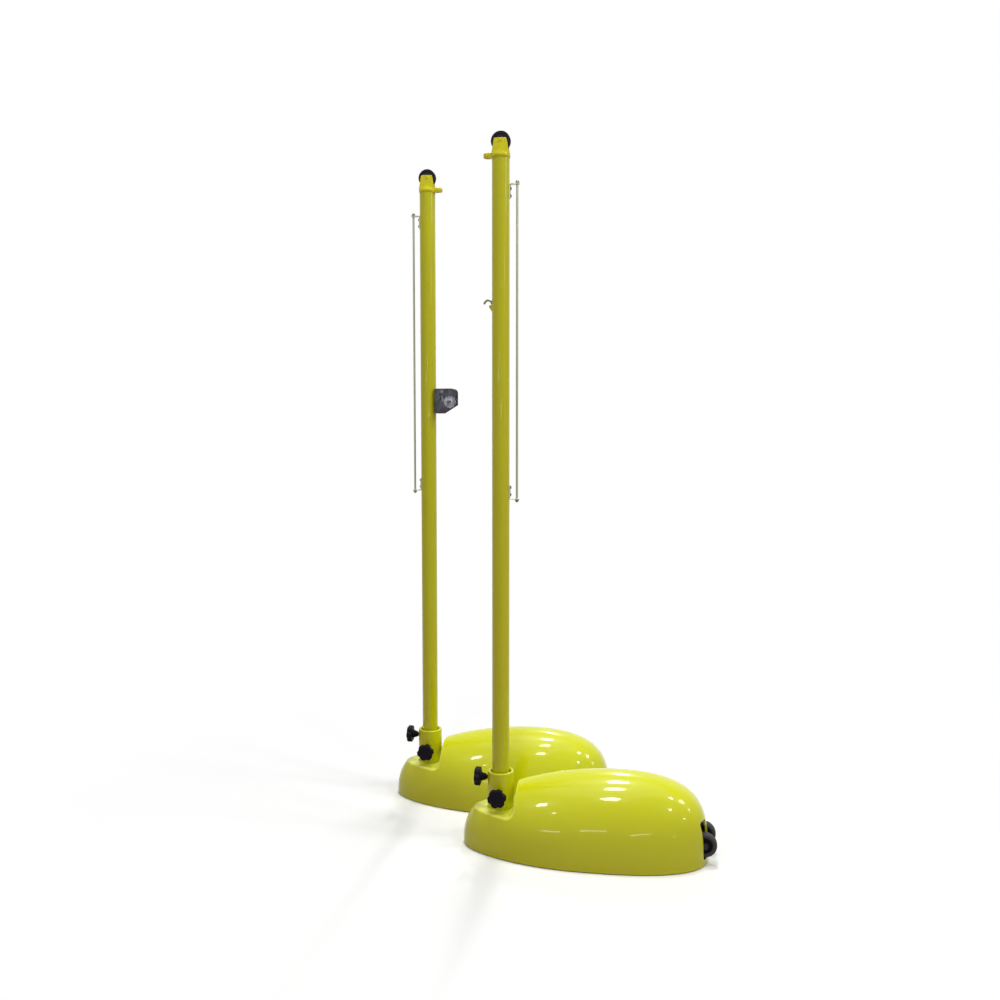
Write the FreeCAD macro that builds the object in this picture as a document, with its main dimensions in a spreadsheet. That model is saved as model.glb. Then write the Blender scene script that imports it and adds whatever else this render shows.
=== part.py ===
"""Pair of free-standing net posts: two weighted bases on transport wheels, two poles that lift out.

Millimetres, +Z up. The net line runs along X, from the pole of each base towards its wheeled tail.
The origin is on the floor, at the middle of the box round the pair as it stands. Every piece of a
post is drawn in that post's own frame, with the pole's axis as Z and the floor at zero, and is then
put in its place. The poles are drawn with the lacing rod towards +X.
"""
import FreeCAD, Part
import Sketcher
import math
import os
from collections import namedtuple

X_AXIS = FreeCAD.Vector(1, 0, 0)
Y_AXIS = FreeCAD.Vector(0, 1, 0)
Z_AXIS = FreeCAD.Vector(0, 0, 1)

# Driving dimensions, in millimetres and degrees
DIMENSIONS = [
    ("pair_shift_x", 227.3, "how far the winch post stands back along the net line"),
    ("pair_shift_y", 265.3, "how far the winch post stands to the side"),
    ("pole_diameter", 38, "outside of the pole tube"),
    ("pole_wall", 2, "wall of the pole tube"),
    ("pole_top", 1499.5, "height of the pole tube's top end"),
    ("socket_diameter", 58, "outside of the socket tube"),
    ("socket_bore", 45, "bore of the socket tube"),
    ("socket_top", 168.5, "height of the socket's rim"),
    ("socket_flange_diameter", 100, "flange welded under the socket"),
    ("socket_flange_thickness", 6, "flange welded under the socket"),
    ("socket_bolt_circle", 80, "pitch circle of the socket's bolts"),
    ("socket_bolt_count", 4, "bolts through the socket's flange"),
    ("socket_bolt_diameter", 8, "shank of a socket bolt"),
    ("bolt_clearance", 0.4, "how much wider a bolt's hole is than its shank"),
    ("seat_floor", 8, "plastic under the pole's end"),
    ("seat_height", 30, "height of the plastic seat in the socket"),
    ("turning_gap", 0.3, "gap between a piece that turns or slides and its neighbour"),
    ("running_gap", 0.05, "radial clearance of a shaft in its bore"),
    ("head_reach", 84, "base shell in front of the pole's axis"),
    ("tail_reach", 452, "base shell behind the pole's axis"),
    ("base_half_width", 114, "half of the base shell's width"),
    ("base_height", 182, "height of the base shell's crest"),
    ("crest_shift", 73, "how far the crest lies behind the middle of the footprint"),
    ("crest_rise", 2.52, "how late the sections slide back on their way up"),
    ("head_roundness", 1.82, "superellipse exponent of the head's outline"),
    ("tail_roundness", 2.6, "superellipse exponent of the tail's outline"),
    ("length_taper", 2.97, "exponent of the shell's length over its height"),
    ("width_taper", 2.19, "exponent of the shell's width over its height"),
    ("shell_wall", 3, "thickness of the moulded shell"),
    ("rim_height", 2, "gap between the shell's rim and the floor"),
    ("step_floor", 87, "height of the flat step at the socket"),
    ("step_wall_x", 36.5, "where the step's wall would meet its floor without a fillet"),
    ("step_wall_lean", 2, "lean of the step's wall from upright"),
    ("step_fillet", 16, "fillet between the step's floor and wall"),
    ("step_collar_gap", 0.5, "gap between the shell and the socket tube"),
    ("boss_diameter", 12, "moulded boss that takes a shell screw"),
    ("boss_height", 20, "moulded boss that takes a shell screw"),
    ("boss_inset", 8, "boss axis inside the shell's outline"),
    ("shell_screw_diameter", 5, "shank of a shell screw"),
    ("shell_screw_length", 16, "shank of a shell screw"),
    ("shell_screw_head", 8, "head diameter of a shell screw"),
    ("shell_screw_head_height", 2.5, "head height of a shell screw"),
    ("plate_gap", 1, "gap between the chassis plate and the shell"),
    ("plate_thickness", 6, "steel chassis plate"),
    ("foot_height", 4, "rubber foot"),
    ("foot_diameter", 26, "rubber foot"),
    ("front_foot_x", -4, "front pair of feet"),
    ("front_foot_y", 40, "front pair of feet"),
    ("rear_foot_x", 372, "rear pair of feet"),
    ("rear_foot_y", 62, "rear pair of feet"),
    ("weight_start_x", 95, "front face of the cast weight"),
    ("weight_length", 290, "cast weight"),
    ("weight_width", 120, "cast weight"),
    ("weight_height", 70, "cast weight"),
    ("weight_corner", 24, "corner radius of the cast weight"),
    ("weight_bolt_inset", 50, "weight bolt inside the end of the weight"),
    ("weight_bolt_diameter", 12, "shank of a weight bolt"),
    ("hex_head_ratio", 1.8, "hexagon head across its corners over its bolt's shank"),
    ("hex_head_height_ratio", 0.65, "hexagon head height over its bolt's shank"),
    ("axle_inset", 7, "wheel axle inside the tail of the shell"),
    ("axle_height", 44, "wheel axle above the floor"),
    ("axle_diameter", 8, "wheel axle"),
    ("axle_half_length", 44, "wheel axle"),
    ("wheel_diameter", 52, "transport wheel"),
    ("wheel_width", 20, "tread of a transport wheel"),
    ("wheel_offset", 30, "middle of a wheel from the middle of the base"),
    ("wheel_crown", 2, "rounding of the tread's edges"),
    ("hub_diameter", 16, "wheel hub"),
    ("hub_outer", 41, "outer end of the wheel hub from the middle of the base"),
    ("clip_diameter", 14, "axle clip"),
    ("clip_thickness", 1.2, "axle clip"),
    ("ear_thickness", 4, "axle bracket"),
    ("ear_outer", 16, "outer face of the axle bracket's ear"),
    ("ear_radius", 7, "end of the axle bracket's ear"),
    ("ear_length", 20, "axle bracket along the base"),
    ("bracket_foot_length", 36, "foot strip of the axle bracket"),
    ("wheel_slot_inner", 17, "inner edge of a wheel slot in the shell"),
    ("wheel_slot_outer", 45, "outer edge of a wheel slot in the shell"),
    ("wheel_slot_gap", 4, "wheel slot below the wheel"),
    ("wheel_slot_top", 96, "height of the wheel slot's upper end"),
    ("axle_window_height", 28, "window in the shell between the wheel slots"),
    ("slot_depth", 80, "how deep the slots are cut from the tail"),
    ("front_knob_height", 122, "axis of the clamp knob that faces sideways"),
    ("side_knob_height", 151, "axis of the clamp knob that faces forwards"),
    ("knob_diameter", 41, "six-lobed knob across its lobes"),
    ("knob_outer", 58, "outer face of the knob from the pole's axis"),
    ("knob_thickness", 12.5, "lobed head of the knob"),
    ("knob_scallop_radius", 8.5, "hollow between two lobes"),
    ("knob_scallop_depth", 2.6, "hollow between two lobes"),
    ("knob_lobes", 6, "lobes round the knob"),
    ("knob_rounding", 1.6, "rounded edges of the knob"),
    ("knob_hub_diameter", 21, "tapered hub of the knob, at its head"),
    ("knob_hub_tip_diameter", 13, "tapered hub of the knob, at its tip"),
    ("knob_hub_length", 13, "tapered hub of the knob"),
    ("stud_diameter", 10, "clamp screw"),
    ("stud_in_head", 6, "clamp screw inside the knob's head"),
    ("stud_thread_gap", 0.1, "radial gap of the clamp screw in its threaded hole"),
    ("clamp_pad_diameter", 9, "pad on the clamp screw's tip"),
    ("clamp_pad_thickness", 3, "pad on the clamp screw's tip"),
    ("pad_stem_diameter", 4, "stem of the pad in the screw's tip"),
    ("pad_stem_length", 5, "stem of the pad in the screw's tip"),
    ("flange_diameter", 41, "disc on top of the pole"),
    ("flange_thickness", 6.5, "disc on top of the pole"),
    ("spigot_length", 40, "part of the pulley bracket inside the pole"),
    ("spigot_wall", 3, "part of the pulley bracket inside the pole"),
    ("eye_offset", 28, "cord eye from the pole's axis"),
    ("eye_outer_radius", 9.5, "ring round the cord eye"),
    ("eye_radius", 4.5, "cord eye"),
    ("eye_thickness", 9, "tongue with the cord eye"),
    ("sheave_rise", 27.5, "axis of the pulley wheel above the disc"),
    ("sheave_diameter", 41.6, "pulley wheel"),
    ("sheave_width", 12, "pulley wheel"),
    ("sheave_groove_radius", 4.6, "round of the cord groove"),
    ("sheave_groove_lift", 0.4, "groove centre outside the wheel's rim"),
    ("cheek_gap", 0.6, "gap between the pulley wheel and a cheek"),
    ("cheek_thickness", 4, "cheek plate of the pulley bracket"),
    ("cheek_crest", 5.3, "cheeks above the axis of the pulley wheel"),
    ("cheek_base_width", 38, "cheek at the disc"),
    ("cheek_top_width", 27.5, "cheek at its top"),
    ("cheek_corner", 4.5, "rounded upper corners of a cheek"),
    ("pulley_pin_diameter", 6, "pulley pin"),
    ("pulley_pin_head_diameter", 9, "pulley pin"),
    ("pulley_pin_head_height", 1.6, "pulley pin"),
    ("rod_diameter", 5, "lacing rod"),
    ("rod_offset", 35.5, "lacing rod from the pole's axis"),
    ("rod_drop", 54.5, "top of the upper rod bracket below the pole's top end"),
    ("rod_span", 673, "between the outer faces of the two rod brackets"),
    ("arm_thickness", 2.5, "rod bracket strip"),
    ("arm_width", 11, "rod bracket strip"),
    ("leg_length", 31, "rod bracket along the pole"),
    ("rivet_first", 10.5, "first rivet from the bracket's arm"),
    ("rivet_pitch", 15.5, "between the two rivets of a bracket"),
    ("rivet_diameter", 4, "rivet shank"),
    ("rivet_head_diameter", 7, "rivet head"),
    ("rivet_head_height", 2, "rivet head"),
    ("rivet_grip", 4, "rivet shank behind the bracket"),
    ("cap_nut_diameter", 9, "domed nut across its corners"),
    ("cap_nut_height", 3, "hexagon part of the domed nut"),
    ("cap_nut_dome", 3.3, "dome radius of the domed nut"),
    ("hook_wire", 4.6, "wire of the cord hook"),
    ("hook_bend", 8.2, "bend radius of the cord hook's centre line"),
    ("hook_offset", 27.6, "middle of the hook's bend from the pole's axis"),
    ("hook_height", 1192.6, "middle of the hook's bend"),
    ("hook_start", 4, "hook angle at the weld"),
    ("hook_sweep", 164, "hook angle from the weld to its tip"),
    ("gusset_reach", 25.6, "corner of the gusset from the pole's axis"),
    ("gusset_drop", 12, "gusset below its corner"),
    ("gusset_rise", 3, "gusset above its corner"),
    ("gusset_gap", 4.2, "corner of the gusset below the middle of the hook's bend"),
    ("gusset_thickness", 5, "gusset"),
    ("winch_drop", 27.3, "lower edge of the winch frame below the drum axis"),
    ("winch_rise", 33.2, "upper edge of the winch frame above the drum axis"),
    ("winch_lip", 13.2, "outer edge of the winch frame beyond the drum axis"),
    ("winch_foot_reach", 41, "outer end of the winch frame's lower edge"),
    ("winch_nose_drop", 4.3, "lower end of the outer edge below the drum axis"),
    ("winch_corner", 10.5, "cut corner of the winch frame"),
    ("winch_sheet", 2.5, "sheet of the winch frame"),
    ("winch_inner_width", 30, "between the side plates"),
    ("drum_x", 58, "drum axis from the pole's axis"),
    ("drum_height", 990.8, "drum axis"),
    ("drum_core_radius", 6.5, "core that the cord winds on"),
    ("drum_flange_radius", 12.5, "end discs of the drum"),
    ("drum_flange_thickness", 2, "end discs of the drum"),
    ("drum_shaft_radius", 5, "drum shaft"),
    ("drum_square", 7, "square end for the crank"),
    ("drum_square_length", 11, "square end for the crank"),
    ("drum_collar_radius", 8, "collar at the back of the drum shaft"),
    ("drum_collar_thickness", 3, "collar at the back of the drum shaft"),
    ("ratchet_tip_radius", 16, "ratchet wheel"),
    ("ratchet_root_radius", 13.2, "ratchet wheel"),
    ("ratchet_thickness", 4, "ratchet wheel"),
    ("ratchet_teeth", 12, "ratchet wheel"),
    ("ratchet_gap", 0.5, "ratchet wheel in front of the side plate"),
    ("ratchet_face_angle", 180, "tooth face that the pawl stops"),
    ("ratchet_face_lean", 14.5, "lean of a tooth's face, which lets the pawl swing out"),
    ("pawl_pivot_back", 19, "pawl pivot from the drum axis, towards the pole"),
    ("pawl_pivot_rise", 24.2, "pawl pivot above the drum axis"),
    ("pawl_boss_radius", 4.6, "round end of the pawl"),
    ("pawl_tab_length", 20.5, "finger tab of the pawl"),
    ("pawl_tab_angle", 241, "finger tab of the pawl"),
    ("pawl_tab_width", 6, "finger tab of the pawl"),
    ("pawl_notch_radius", 10, "notch between tab and nose, from the pivot"),
    ("pawl_notch_angle", 257, "notch between tab and nose"),
    ("pawl_foot_length", 6.3, "end of the pawl along the tooth's face"),
    ("pawl_play", 0.4, "gap between the pawl and the teeth"),
    ("pawl_pin_diameter", 5, "pawl pin"),
    ("pawl_pin_head_diameter", 8, "pawl pin"),
    ("pawl_pin_head_height", 2, "pawl pin"),
    ("winch_screw_diameter", 6, "screw from the winch frame into the pole"),
    ("winch_screw_head_diameter", 11, "screw from the winch frame into the pole"),
    ("winch_screw_head_height", 4, "screw from the winch frame into the pole"),
    ("winch_screw_inset", 13, "screw from the frame's upper or lower edge"),
    ("winch_screw_grip", 4, "screw behind the pole's wall"),
]

# Sizes worked out from the driving ones
PLATE_TOP = "(dims.foot_height + dims.plate_thickness)"
POLE_FOOT = "(dims.foot_height + dims.plate_thickness + dims.seat_floor)"
POLE_RADIUS = "(dims.pole_diameter / 2)"
POLE_BORE = "(dims.pole_diameter / 2 - dims.pole_wall)"
AXLE_X = "(dims.tail_reach - dims.axle_inset)"
FLANGE_TOP = "(dims.pole_top + dims.flange_thickness)"
SHEAVE_AXIS = "(dims.pole_top + dims.flange_thickness + dims.sheave_rise)"
CHEEK_TOP = "(dims.pole_top + dims.flange_thickness + dims.sheave_rise + dims.cheek_crest)"
ROD_HIGH = "(dims.pole_top - dims.rod_drop)"
ROD_LOW = "(dims.pole_top - dims.rod_drop - dims.rod_span)"
CHEEK_INNER = "(dims.sheave_width / 2 + dims.cheek_gap)"
CHEEK_OUTER = "(dims.sheave_width / 2 + dims.cheek_gap + dims.cheek_thickness)"
KNOB_BACK = "(dims.knob_outer - dims.knob_thickness)"
PAD_TIP = "(dims.pole_diameter / 2 + dims.turning_gap)"
STUD_TIP = "(dims.pole_diameter / 2 + 2 * dims.turning_gap + dims.clamp_pad_thickness)"
GUSSET_CORNER = "(dims.hook_height - dims.gusset_gap)"
WINCH_LOW = "(dims.drum_height - dims.winch_drop)"
WINCH_HIGH = "(dims.drum_height + dims.winch_rise)"
WINCH_FACE = "(dims.winch_inner_width / 2 + dims.winch_sheet)"
RATCHET_BACK = "(dims.winch_inner_width / 2 + dims.winch_sheet + dims.ratchet_gap)"
RATCHET_FRONT = "(dims.winch_inner_width / 2 + dims.winch_sheet + dims.ratchet_gap" \
    " + dims.ratchet_thickness)"
HOOK_POST_X = "((dims.pair_shift_x + dims.head_reach - %s - dims.wheel_diameter / 2) / 2)" % AXLE_X

Post = namedtuple("Post", "name x y pole_turn")
POSTS = (
    Post("hook_post", HOOK_POST_X, "(-dims.pair_shift_y / 2)", 0),
    Post("winch_post", HOOK_POST_X + " - dims.pair_shift_x", "(dims.pair_shift_y / 2)", 180),
)

Knob = namedtuple("Knob", "name height axis angle")
KNOBS = (
    Knob("front_knob", "dims.front_knob_height", X_AXIS, 90),
    Knob("side_knob", "dims.side_knob_height", Y_AXIS, -90),
)

document = FreeCAD.newDocument("net_posts")
sheet = document.addObject("Spreadsheet::Sheet", "dims")
for row, (alias, value, note) in enumerate(DIMENSIONS, start=1):
    sheet.set("A%d" % row, note)
    sheet.set("B%d" % row, str(value))
    sheet.setAlias("B%d" % row, alias)
document.recompute()

pieces = []


# Helpers

def number(expression):
    """Value of an expression over the sheet."""
    return float(sheet.evalExpression(expression))


def seat(item, x="0", y="0", z="0", turn=None):
    """Turn an object about its own origin, then put that origin at x, y, z."""
    if turn is not None:
        item.Placement = FreeCAD.Placement(FreeCAD.Vector(), turn)
    item.setExpression("Placement.Base.x", x)
    item.setExpression("Placement.Base.y", y)
    item.setExpression("Placement.Base.z", z)
    return item


def rotation(axis, angle):
    """Rotation about one axis, in degrees."""
    return FreeCAD.Rotation(axis, angle)


TOWARDS_PLUS_Y = rotation(X_AXIS, -90)
TOWARDS_MINUS_Y = rotation(X_AXIS, 90)
TOWARDS_PLUS_X = rotation(Y_AXIS, 90)
TOWARDS_MINUS_X = rotation(Y_AXIS, -90)


def primitive(kind, name, sizes, x, y, z, turn):
    """Part primitive with its sizes bound to the sheet."""
    item = document.addObject("Part::" + kind, name)
    for size_name, expression in sizes.items():
        item.setExpression(size_name, expression)
    return seat(item, x, y, z, turn)


def cylinder(name, radius, height, x="0", y="0", z="0", turn=None):
    """Cylinder that starts at x, y, z and runs along +Z before it is turned."""
    return primitive("Cylinder", name, {"Radius": radius, "Height": height}, x, y, z, turn)


def cone(name, low_radius, high_radius, height, x="0", y="0", z="0", turn=None):
    """Cut-off cone that starts at x, y, z and runs along +Z before it is turned."""
    sizes = {"Radius1": low_radius, "Radius2": high_radius, "Height": height}
    return primitive("Cone", name, sizes, x, y, z, turn)


def box(name, length, width, height, x="0", y="0", z="0", turn=None):
    """Box with its lowest corner at x, y, z."""
    sizes = {"Length": length, "Width": width, "Height": height}
    return primitive("Box", name, sizes, x, y, z, turn)


def hexagon(name, corner_diameter, height, x="0", y="0", z="0", turn=None):
    """Hexagonal prism, sized across its corners."""
    item = primitive("Prism", name, {"Height": height}, x, y, z, turn)
    item.Polygon = 6
    item.setExpression("Circumradius", corner_diameter + " / 2")
    return item


def torus(name, bend, wire, x="0", y="0", z="0", turn=None):
    """Ring with the given centre-line radius and wire radius."""
    return primitive("Torus", name, {"Radius1": bend, "Radius2": wire}, x, y, z, turn)


def sphere(name, radius, x="0", y="0", z="0"):
    """Ball centred on x, y, z."""
    return primitive("Sphere", name, {"Radius": radius}, x, y, z, None)


def join(name, *members):
    """Union of overlapping or touching shapes."""
    item = document.addObject("Part::MultiFuse", name)
    item.Shapes = list(members)
    item.Refine = True
    return item


def cut(name, base, *tools):
    """One shape with the others taken out of it."""
    item = document.addObject("Part::Cut", name)
    item.Base = base
    item.Tool = tools[0] if len(tools) == 1 else join(name + "_tools", *tools)
    return item


def common(name, *members):
    """What all the shapes share."""
    item = document.addObject("Part::MultiCommon", name)
    item.Shapes = list(members)
    return item


def group(name, *members):
    """Several separate solids in one object."""
    item = document.addObject("Part::Compound", name)
    item.Links = list(members)
    return item


def rounded(name, base, radius, wanted):
    """Base with a fillet on each edge that the test picks."""
    document.recompute()
    size = number(radius)
    item = document.addObject("Part::Fillet", name)
    item.Base = base
    item.Edges = [(index, size, size) for index, edge in enumerate(base.Shape.Edges, start=1)
                  if wanted(edge)]
    return item


def solid_of(name, shape):
    """Object that holds a shape worked out from the sheet."""
    item = document.addObject("Part::Feature", name)
    item.Shape = shape
    return item


def keep(item, label, x="0", y="0", z="0", turn=None):
    """Name a finished sub-part and put it in its place."""
    item.Label = label
    seat(item, x, y, z, turn)
    pieces.append(item)
    return item


def keep_on_base(item, post, node):
    """Finished sub-part of a post's base."""
    return keep(item, post.name + "_" + node, post.x, post.y)


def keep_on_pole(item, post, node):
    """Finished sub-part of a post's pole, turned with the pole."""
    return keep(item, post.name + "_" + node, post.x, post.y, "0",
                rotation(Z_AXIS, post.pole_turn))


def at_post(item, post):
    """Part of a group that serves both posts, moved to one of them."""
    return seat(item, post.x, post.y)


def prism_from(points, depth_start, depth):
    """Solid with its outline in X and Z, and its depth along Y."""
    corners = [FreeCAD.Vector(x, depth_start, z) for x, z in points]
    face = Part.Face(Part.makePolygon(corners + corners[:1]))
    return face.extrude(FreeCAD.Vector(0, depth, 0))


# Base shell: stacked superellipses that shrink and slide back on the way up

def outline_point(angle, level, inset):
    """Point of the shell's outline at a share of its height, as x and y."""
    half_length = (number("(dims.tail_reach + dims.head_reach) / 2") - inset) \
        * math.sqrt(1 - level ** number("dims.length_taper"))
    half_width = (number("dims.base_half_width") - inset) \
        * math.sqrt(1 - level ** number("dims.width_taper"))
    middle = number("(dims.tail_reach - dims.head_reach) / 2") \
        + number("dims.crest_shift") * level ** number("dims.crest_rise")
    across, along = math.sin(angle), math.cos(angle)
    power = number("dims.tail_roundness") if along > 0 else number("dims.head_roundness")
    spread = (abs(along) ** power + abs(across) ** power) ** (-1 / power)
    return middle + half_length * spread * along, half_width * spread * across


def outline_wire(level, inset, height, points=48):
    """Closed smooth outline at one height."""
    ring = []
    for index in range(points):
        x, y = outline_point(2 * math.pi * index / points, level, inset)
        ring.append(FreeCAD.Vector(x, y, height))
    curve = Part.BSplineCurve()
    curve.interpolate(Points=ring, PeriodicFlag=True)
    return Part.Wire([curve.toShape()])


def dome(inset, sections=14, last_level=0.9995):
    """Solid dome on the floor, smaller all round by the inset."""
    crest = number("dims.base_height") - inset
    steepest = math.asin(last_level)
    wires = []
    for index in range(sections):
        level = math.sin(steepest * index / (sections - 1))
        wires.append(outline_wire(level, inset, crest * level))
    return Part.makeLoft(wires, True, False)


def step_block(inset):
    """What the step at the socket takes out of the dome, larger by the inset."""
    lean = math.radians(number("dims.step_wall_lean"))
    floor = number("dims.step_floor") - inset
    corner = number("dims.step_wall_x") + inset / math.cos(lean) - inset * math.tan(lean)
    radius = number("dims.step_fillet") + inset
    opening = math.pi / 2 - lean
    tangent = radius * math.tan(opening / 2)
    top = number("dims.base_height") * 2
    front = -number("dims.head_reach") * 2
    half_width = number("dims.base_half_width") * 1.5
    start = FreeCAD.Vector(corner - tangent, -half_width, floor)
    end = FreeCAD.Vector(corner + tangent * math.cos(opening), -half_width,
                         floor + tangent * math.sin(opening))
    centre = FreeCAD.Vector(start.x, -half_width, floor + radius)
    middle = centre + FreeCAD.Vector(math.sin(opening / 2), 0, -math.cos(opening / 2)) * radius
    above = FreeCAD.Vector(corner + (top - floor) / math.tan(opening), -half_width, top)
    far_top = FreeCAD.Vector(front, -half_width, top)
    far_floor = FreeCAD.Vector(front, -half_width, floor)
    edges = [
        Part.LineSegment(far_floor, start).toShape(),
        Part.Arc(start, middle, end).toShape(),
        Part.LineSegment(end, above).toShape(),
        Part.LineSegment(above, far_top).toShape(),
        Part.LineSegment(far_top, far_floor).toShape(),
    ]
    return Part.Face(Part.Wire(edges)).extrude(FreeCAD.Vector(0, 2 * half_width, 0))


def boss_points():
    """Where the shell screws stand, as x and y."""
    places = []
    for degrees in (40, 90, 140, 220, 270, 320):
        places.append(outline_point(math.radians(degrees), 0, number("dims.boss_inset")))
    return places


def shell_shape():
    """Moulded shell with the step, the wheel slots and its screw bosses."""
    wall = number("dims.shell_wall")
    outer = dome(0).cut(step_block(0))
    hollow = dome(wall).cut(step_block(wall))
    rim = number("dims.rim_height")
    length = number("dims.tail_reach + dims.head_reach") * 2
    under = Part.makeBox(length, length, 2 * rim, FreeCAD.Vector(-length / 2, -length / 2, -rim))
    collar = Part.makeCylinder(number("dims.socket_diameter / 2 + dims.step_collar_gap"),
                               2 * number("dims.step_floor"))
    slot_start = number("dims.tail_reach - dims.slot_depth")
    slot_low = number("dims.axle_height - dims.wheel_diameter / 2 - dims.wheel_slot_gap")
    slot_height = number("dims.wheel_slot_top") - slot_low
    inner = number("dims.wheel_slot_inner")
    slot_width = number("dims.wheel_slot_outer") - inner
    reach = number("dims.slot_depth") * 2
    window = number("dims.axle_window_height")
    tools = [hollow, under, collar,
             Part.makeBox(reach, 2 * inner, window,
                          FreeCAD.Vector(slot_start, -inner,
                                         number("dims.axle_height") - window / 2))]
    for low_side in (inner, -inner - slot_width):
        slot = Part.makeBox(reach, slot_width, slot_height,
                            FreeCAD.Vector(slot_start, low_side, slot_low))
        along = [edge for edge in slot.Edges if edge.BoundBox.XLength > reach / 2]
        tools.append(slot.makeFillet(slot_width / 4, along))
    shell = outer.cut(tools)
    base = number(PLATE_TOP)
    bosses = [Part.makeCylinder(number("dims.boss_diameter / 2"), number("dims.boss_height"),
                                FreeCAD.Vector(x, y, base)) for x, y in boss_points()]
    bores = [Part.makeCylinder(number("dims.shell_screw_diameter / 2 + dims.running_gap"),
                               number("dims.shell_screw_length"),
                               FreeCAD.Vector(x, y, base)) for x, y in boss_points()]
    return shell.fuse(bosses).cut(bores).Solids[0]


# Chassis: plate, feet, weight and the fasteners that hold them

def plate_shape():
    """Steel plate that follows the inside of the shell, with its bolt holes."""
    inset = number("dims.shell_wall + dims.plate_gap")
    thickness = number("dims.plate_thickness")
    bottom = number("dims.foot_height")
    plate = Part.Face(outline_wire(0, inset, bottom)).extrude(FreeCAD.Vector(0, 0, thickness))
    holes = [(x, y, "dims.shell_screw_diameter") for x, y in boss_points()]
    holes += [(x, y, "dims.socket_bolt_diameter") for x, y in socket_bolt_points()]
    holes += [(x, 0, "dims.weight_bolt_diameter") for x in weight_bolt_points()]
    return plate.cut([Part.makeCylinder(number("(%s + dims.bolt_clearance) / 2" % diameter),
                                        thickness, FreeCAD.Vector(x, y, bottom))
                      for x, y, diameter in holes])


def socket_bolt_points():
    """Where the socket's bolts stand, as x and y."""
    count = int(number("dims.socket_bolt_count"))
    radius = number("dims.socket_bolt_circle / 2")
    places = []
    for index in range(count):
        angle = 2 * math.pi * (index + 0.5) / count
        places.append((radius * math.cos(angle), radius * math.sin(angle)))
    return places


def weight_bolt_points():
    """Where the weight's bolts stand, as x."""
    start = number("dims.weight_start_x")
    inset = number("dims.weight_bolt_inset")
    return start + inset, start + number("dims.weight_length") - inset


def weight(post):
    """Cast block with rounded corners and two bolt holes."""
    name = post.name + "_weight"
    block = box(name + "_block", "dims.weight_length", "dims.weight_width",
                "dims.weight_height", "dims.weight_start_x", "-dims.weight_width / 2", PLATE_TOP)
    block = rounded(name + "_rounded", block, "dims.weight_corner",
                    lambda edge: edge.BoundBox.ZLength > number("dims.weight_height / 2"))
    holes = [cylinder("%s_hole_%d" % (name, index),
                      "(dims.weight_bolt_diameter + dims.bolt_clearance) / 2",
                      "dims.weight_height", str(x), "0", PLATE_TOP)
             for index, x in enumerate(weight_bolt_points())]
    keep_on_base(cut(name + "_cut", block, *holes), post, "ballast_weight")


def bolt(name, diameter, head_bottom, shank, x, y):
    """Hexagon-headed bolt that points down, with its head resting at a height."""
    head = hexagon(name + "_head", "dims.hex_head_ratio * %s" % diameter,
                   "dims.hex_head_height_ratio * %s" % diameter, x, y, head_bottom)
    stem = cylinder(name + "_shank", "%s / 2" % diameter, shank, x, y,
                    "%s - %s" % (head_bottom, shank))
    return join(name, head, stem)


def weight_bolts():
    """Bolts that hold the weights down, for both posts."""
    members = []
    for post in POSTS:
        bolts = [bolt("%s_weight_bolt_%d" % (post.name, index), "dims.weight_bolt_diameter",
                      "(%s + dims.weight_height)" % PLATE_TOP,
                      "(dims.weight_height + dims.plate_thickness)", str(x), "0")
                 for index, x in enumerate(weight_bolt_points())]
        members.append(at_post(group(post.name + "_weight_bolt_set", *bolts), post))
    keep(group("weight_bolt_sets", *members), "ballast_bolts")


def socket_bolts():
    """Bolts through the socket flanges, for both posts."""
    members = []
    for post in POSTS:
        bolts = [bolt("%s_socket_bolt_%d" % (post.name, index), "dims.socket_bolt_diameter",
                      "(%s + dims.socket_flange_thickness)" % PLATE_TOP,
                      "(dims.socket_flange_thickness + dims.plate_thickness)", str(x), str(y))
                 for index, (x, y) in enumerate(socket_bolt_points())]
        members.append(at_post(group(post.name + "_socket_bolt_set", *bolts), post))
    keep(group("socket_bolt_sets", *members), "socket_bolts")


def shell_screws():
    """Screws from under the plates into the shells' bosses, for both posts."""
    members = []
    for post in POSTS:
        screws = []
        for index, (x, y) in enumerate(boss_points()):
            name = "%s_shell_screw_%d" % (post.name, index)
            head = cylinder(name + "_head", "dims.shell_screw_head / 2",
                            "dims.shell_screw_head_height", str(x), str(y),
                            "dims.foot_height - dims.shell_screw_head_height")
            stem = cylinder(name + "_shank", "dims.shell_screw_diameter / 2",
                            "dims.shell_screw_length", str(x), str(y), "dims.foot_height")
            screws.append(join(name, head, stem))
        members.append(at_post(group(post.name + "_shell_screw_set", *screws), post))
    keep(group("shell_screw_sets", *members), "shell_screws")


def rubber_feet():
    """Rubber discs under the chassis plates, for both posts."""
    members = []
    for post in POSTS:
        feet = []
        for end in ("front", "rear"):
            for side, sign in (("left", "1"), ("right", "-1")):
                feet.append(cylinder("%s_%s_%s_foot" % (post.name, end, side),
                                     "dims.foot_diameter / 2", "dims.foot_height",
                                     "dims.%s_foot_x" % end, "%s * dims.%s_foot_y" % (sign, end)))
        members.append(at_post(group(post.name + "_foot_set", *feet), post))
    keep(group("foot_sets", *members), "rubber_feet")


# Socket, seat and clamp knobs

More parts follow.
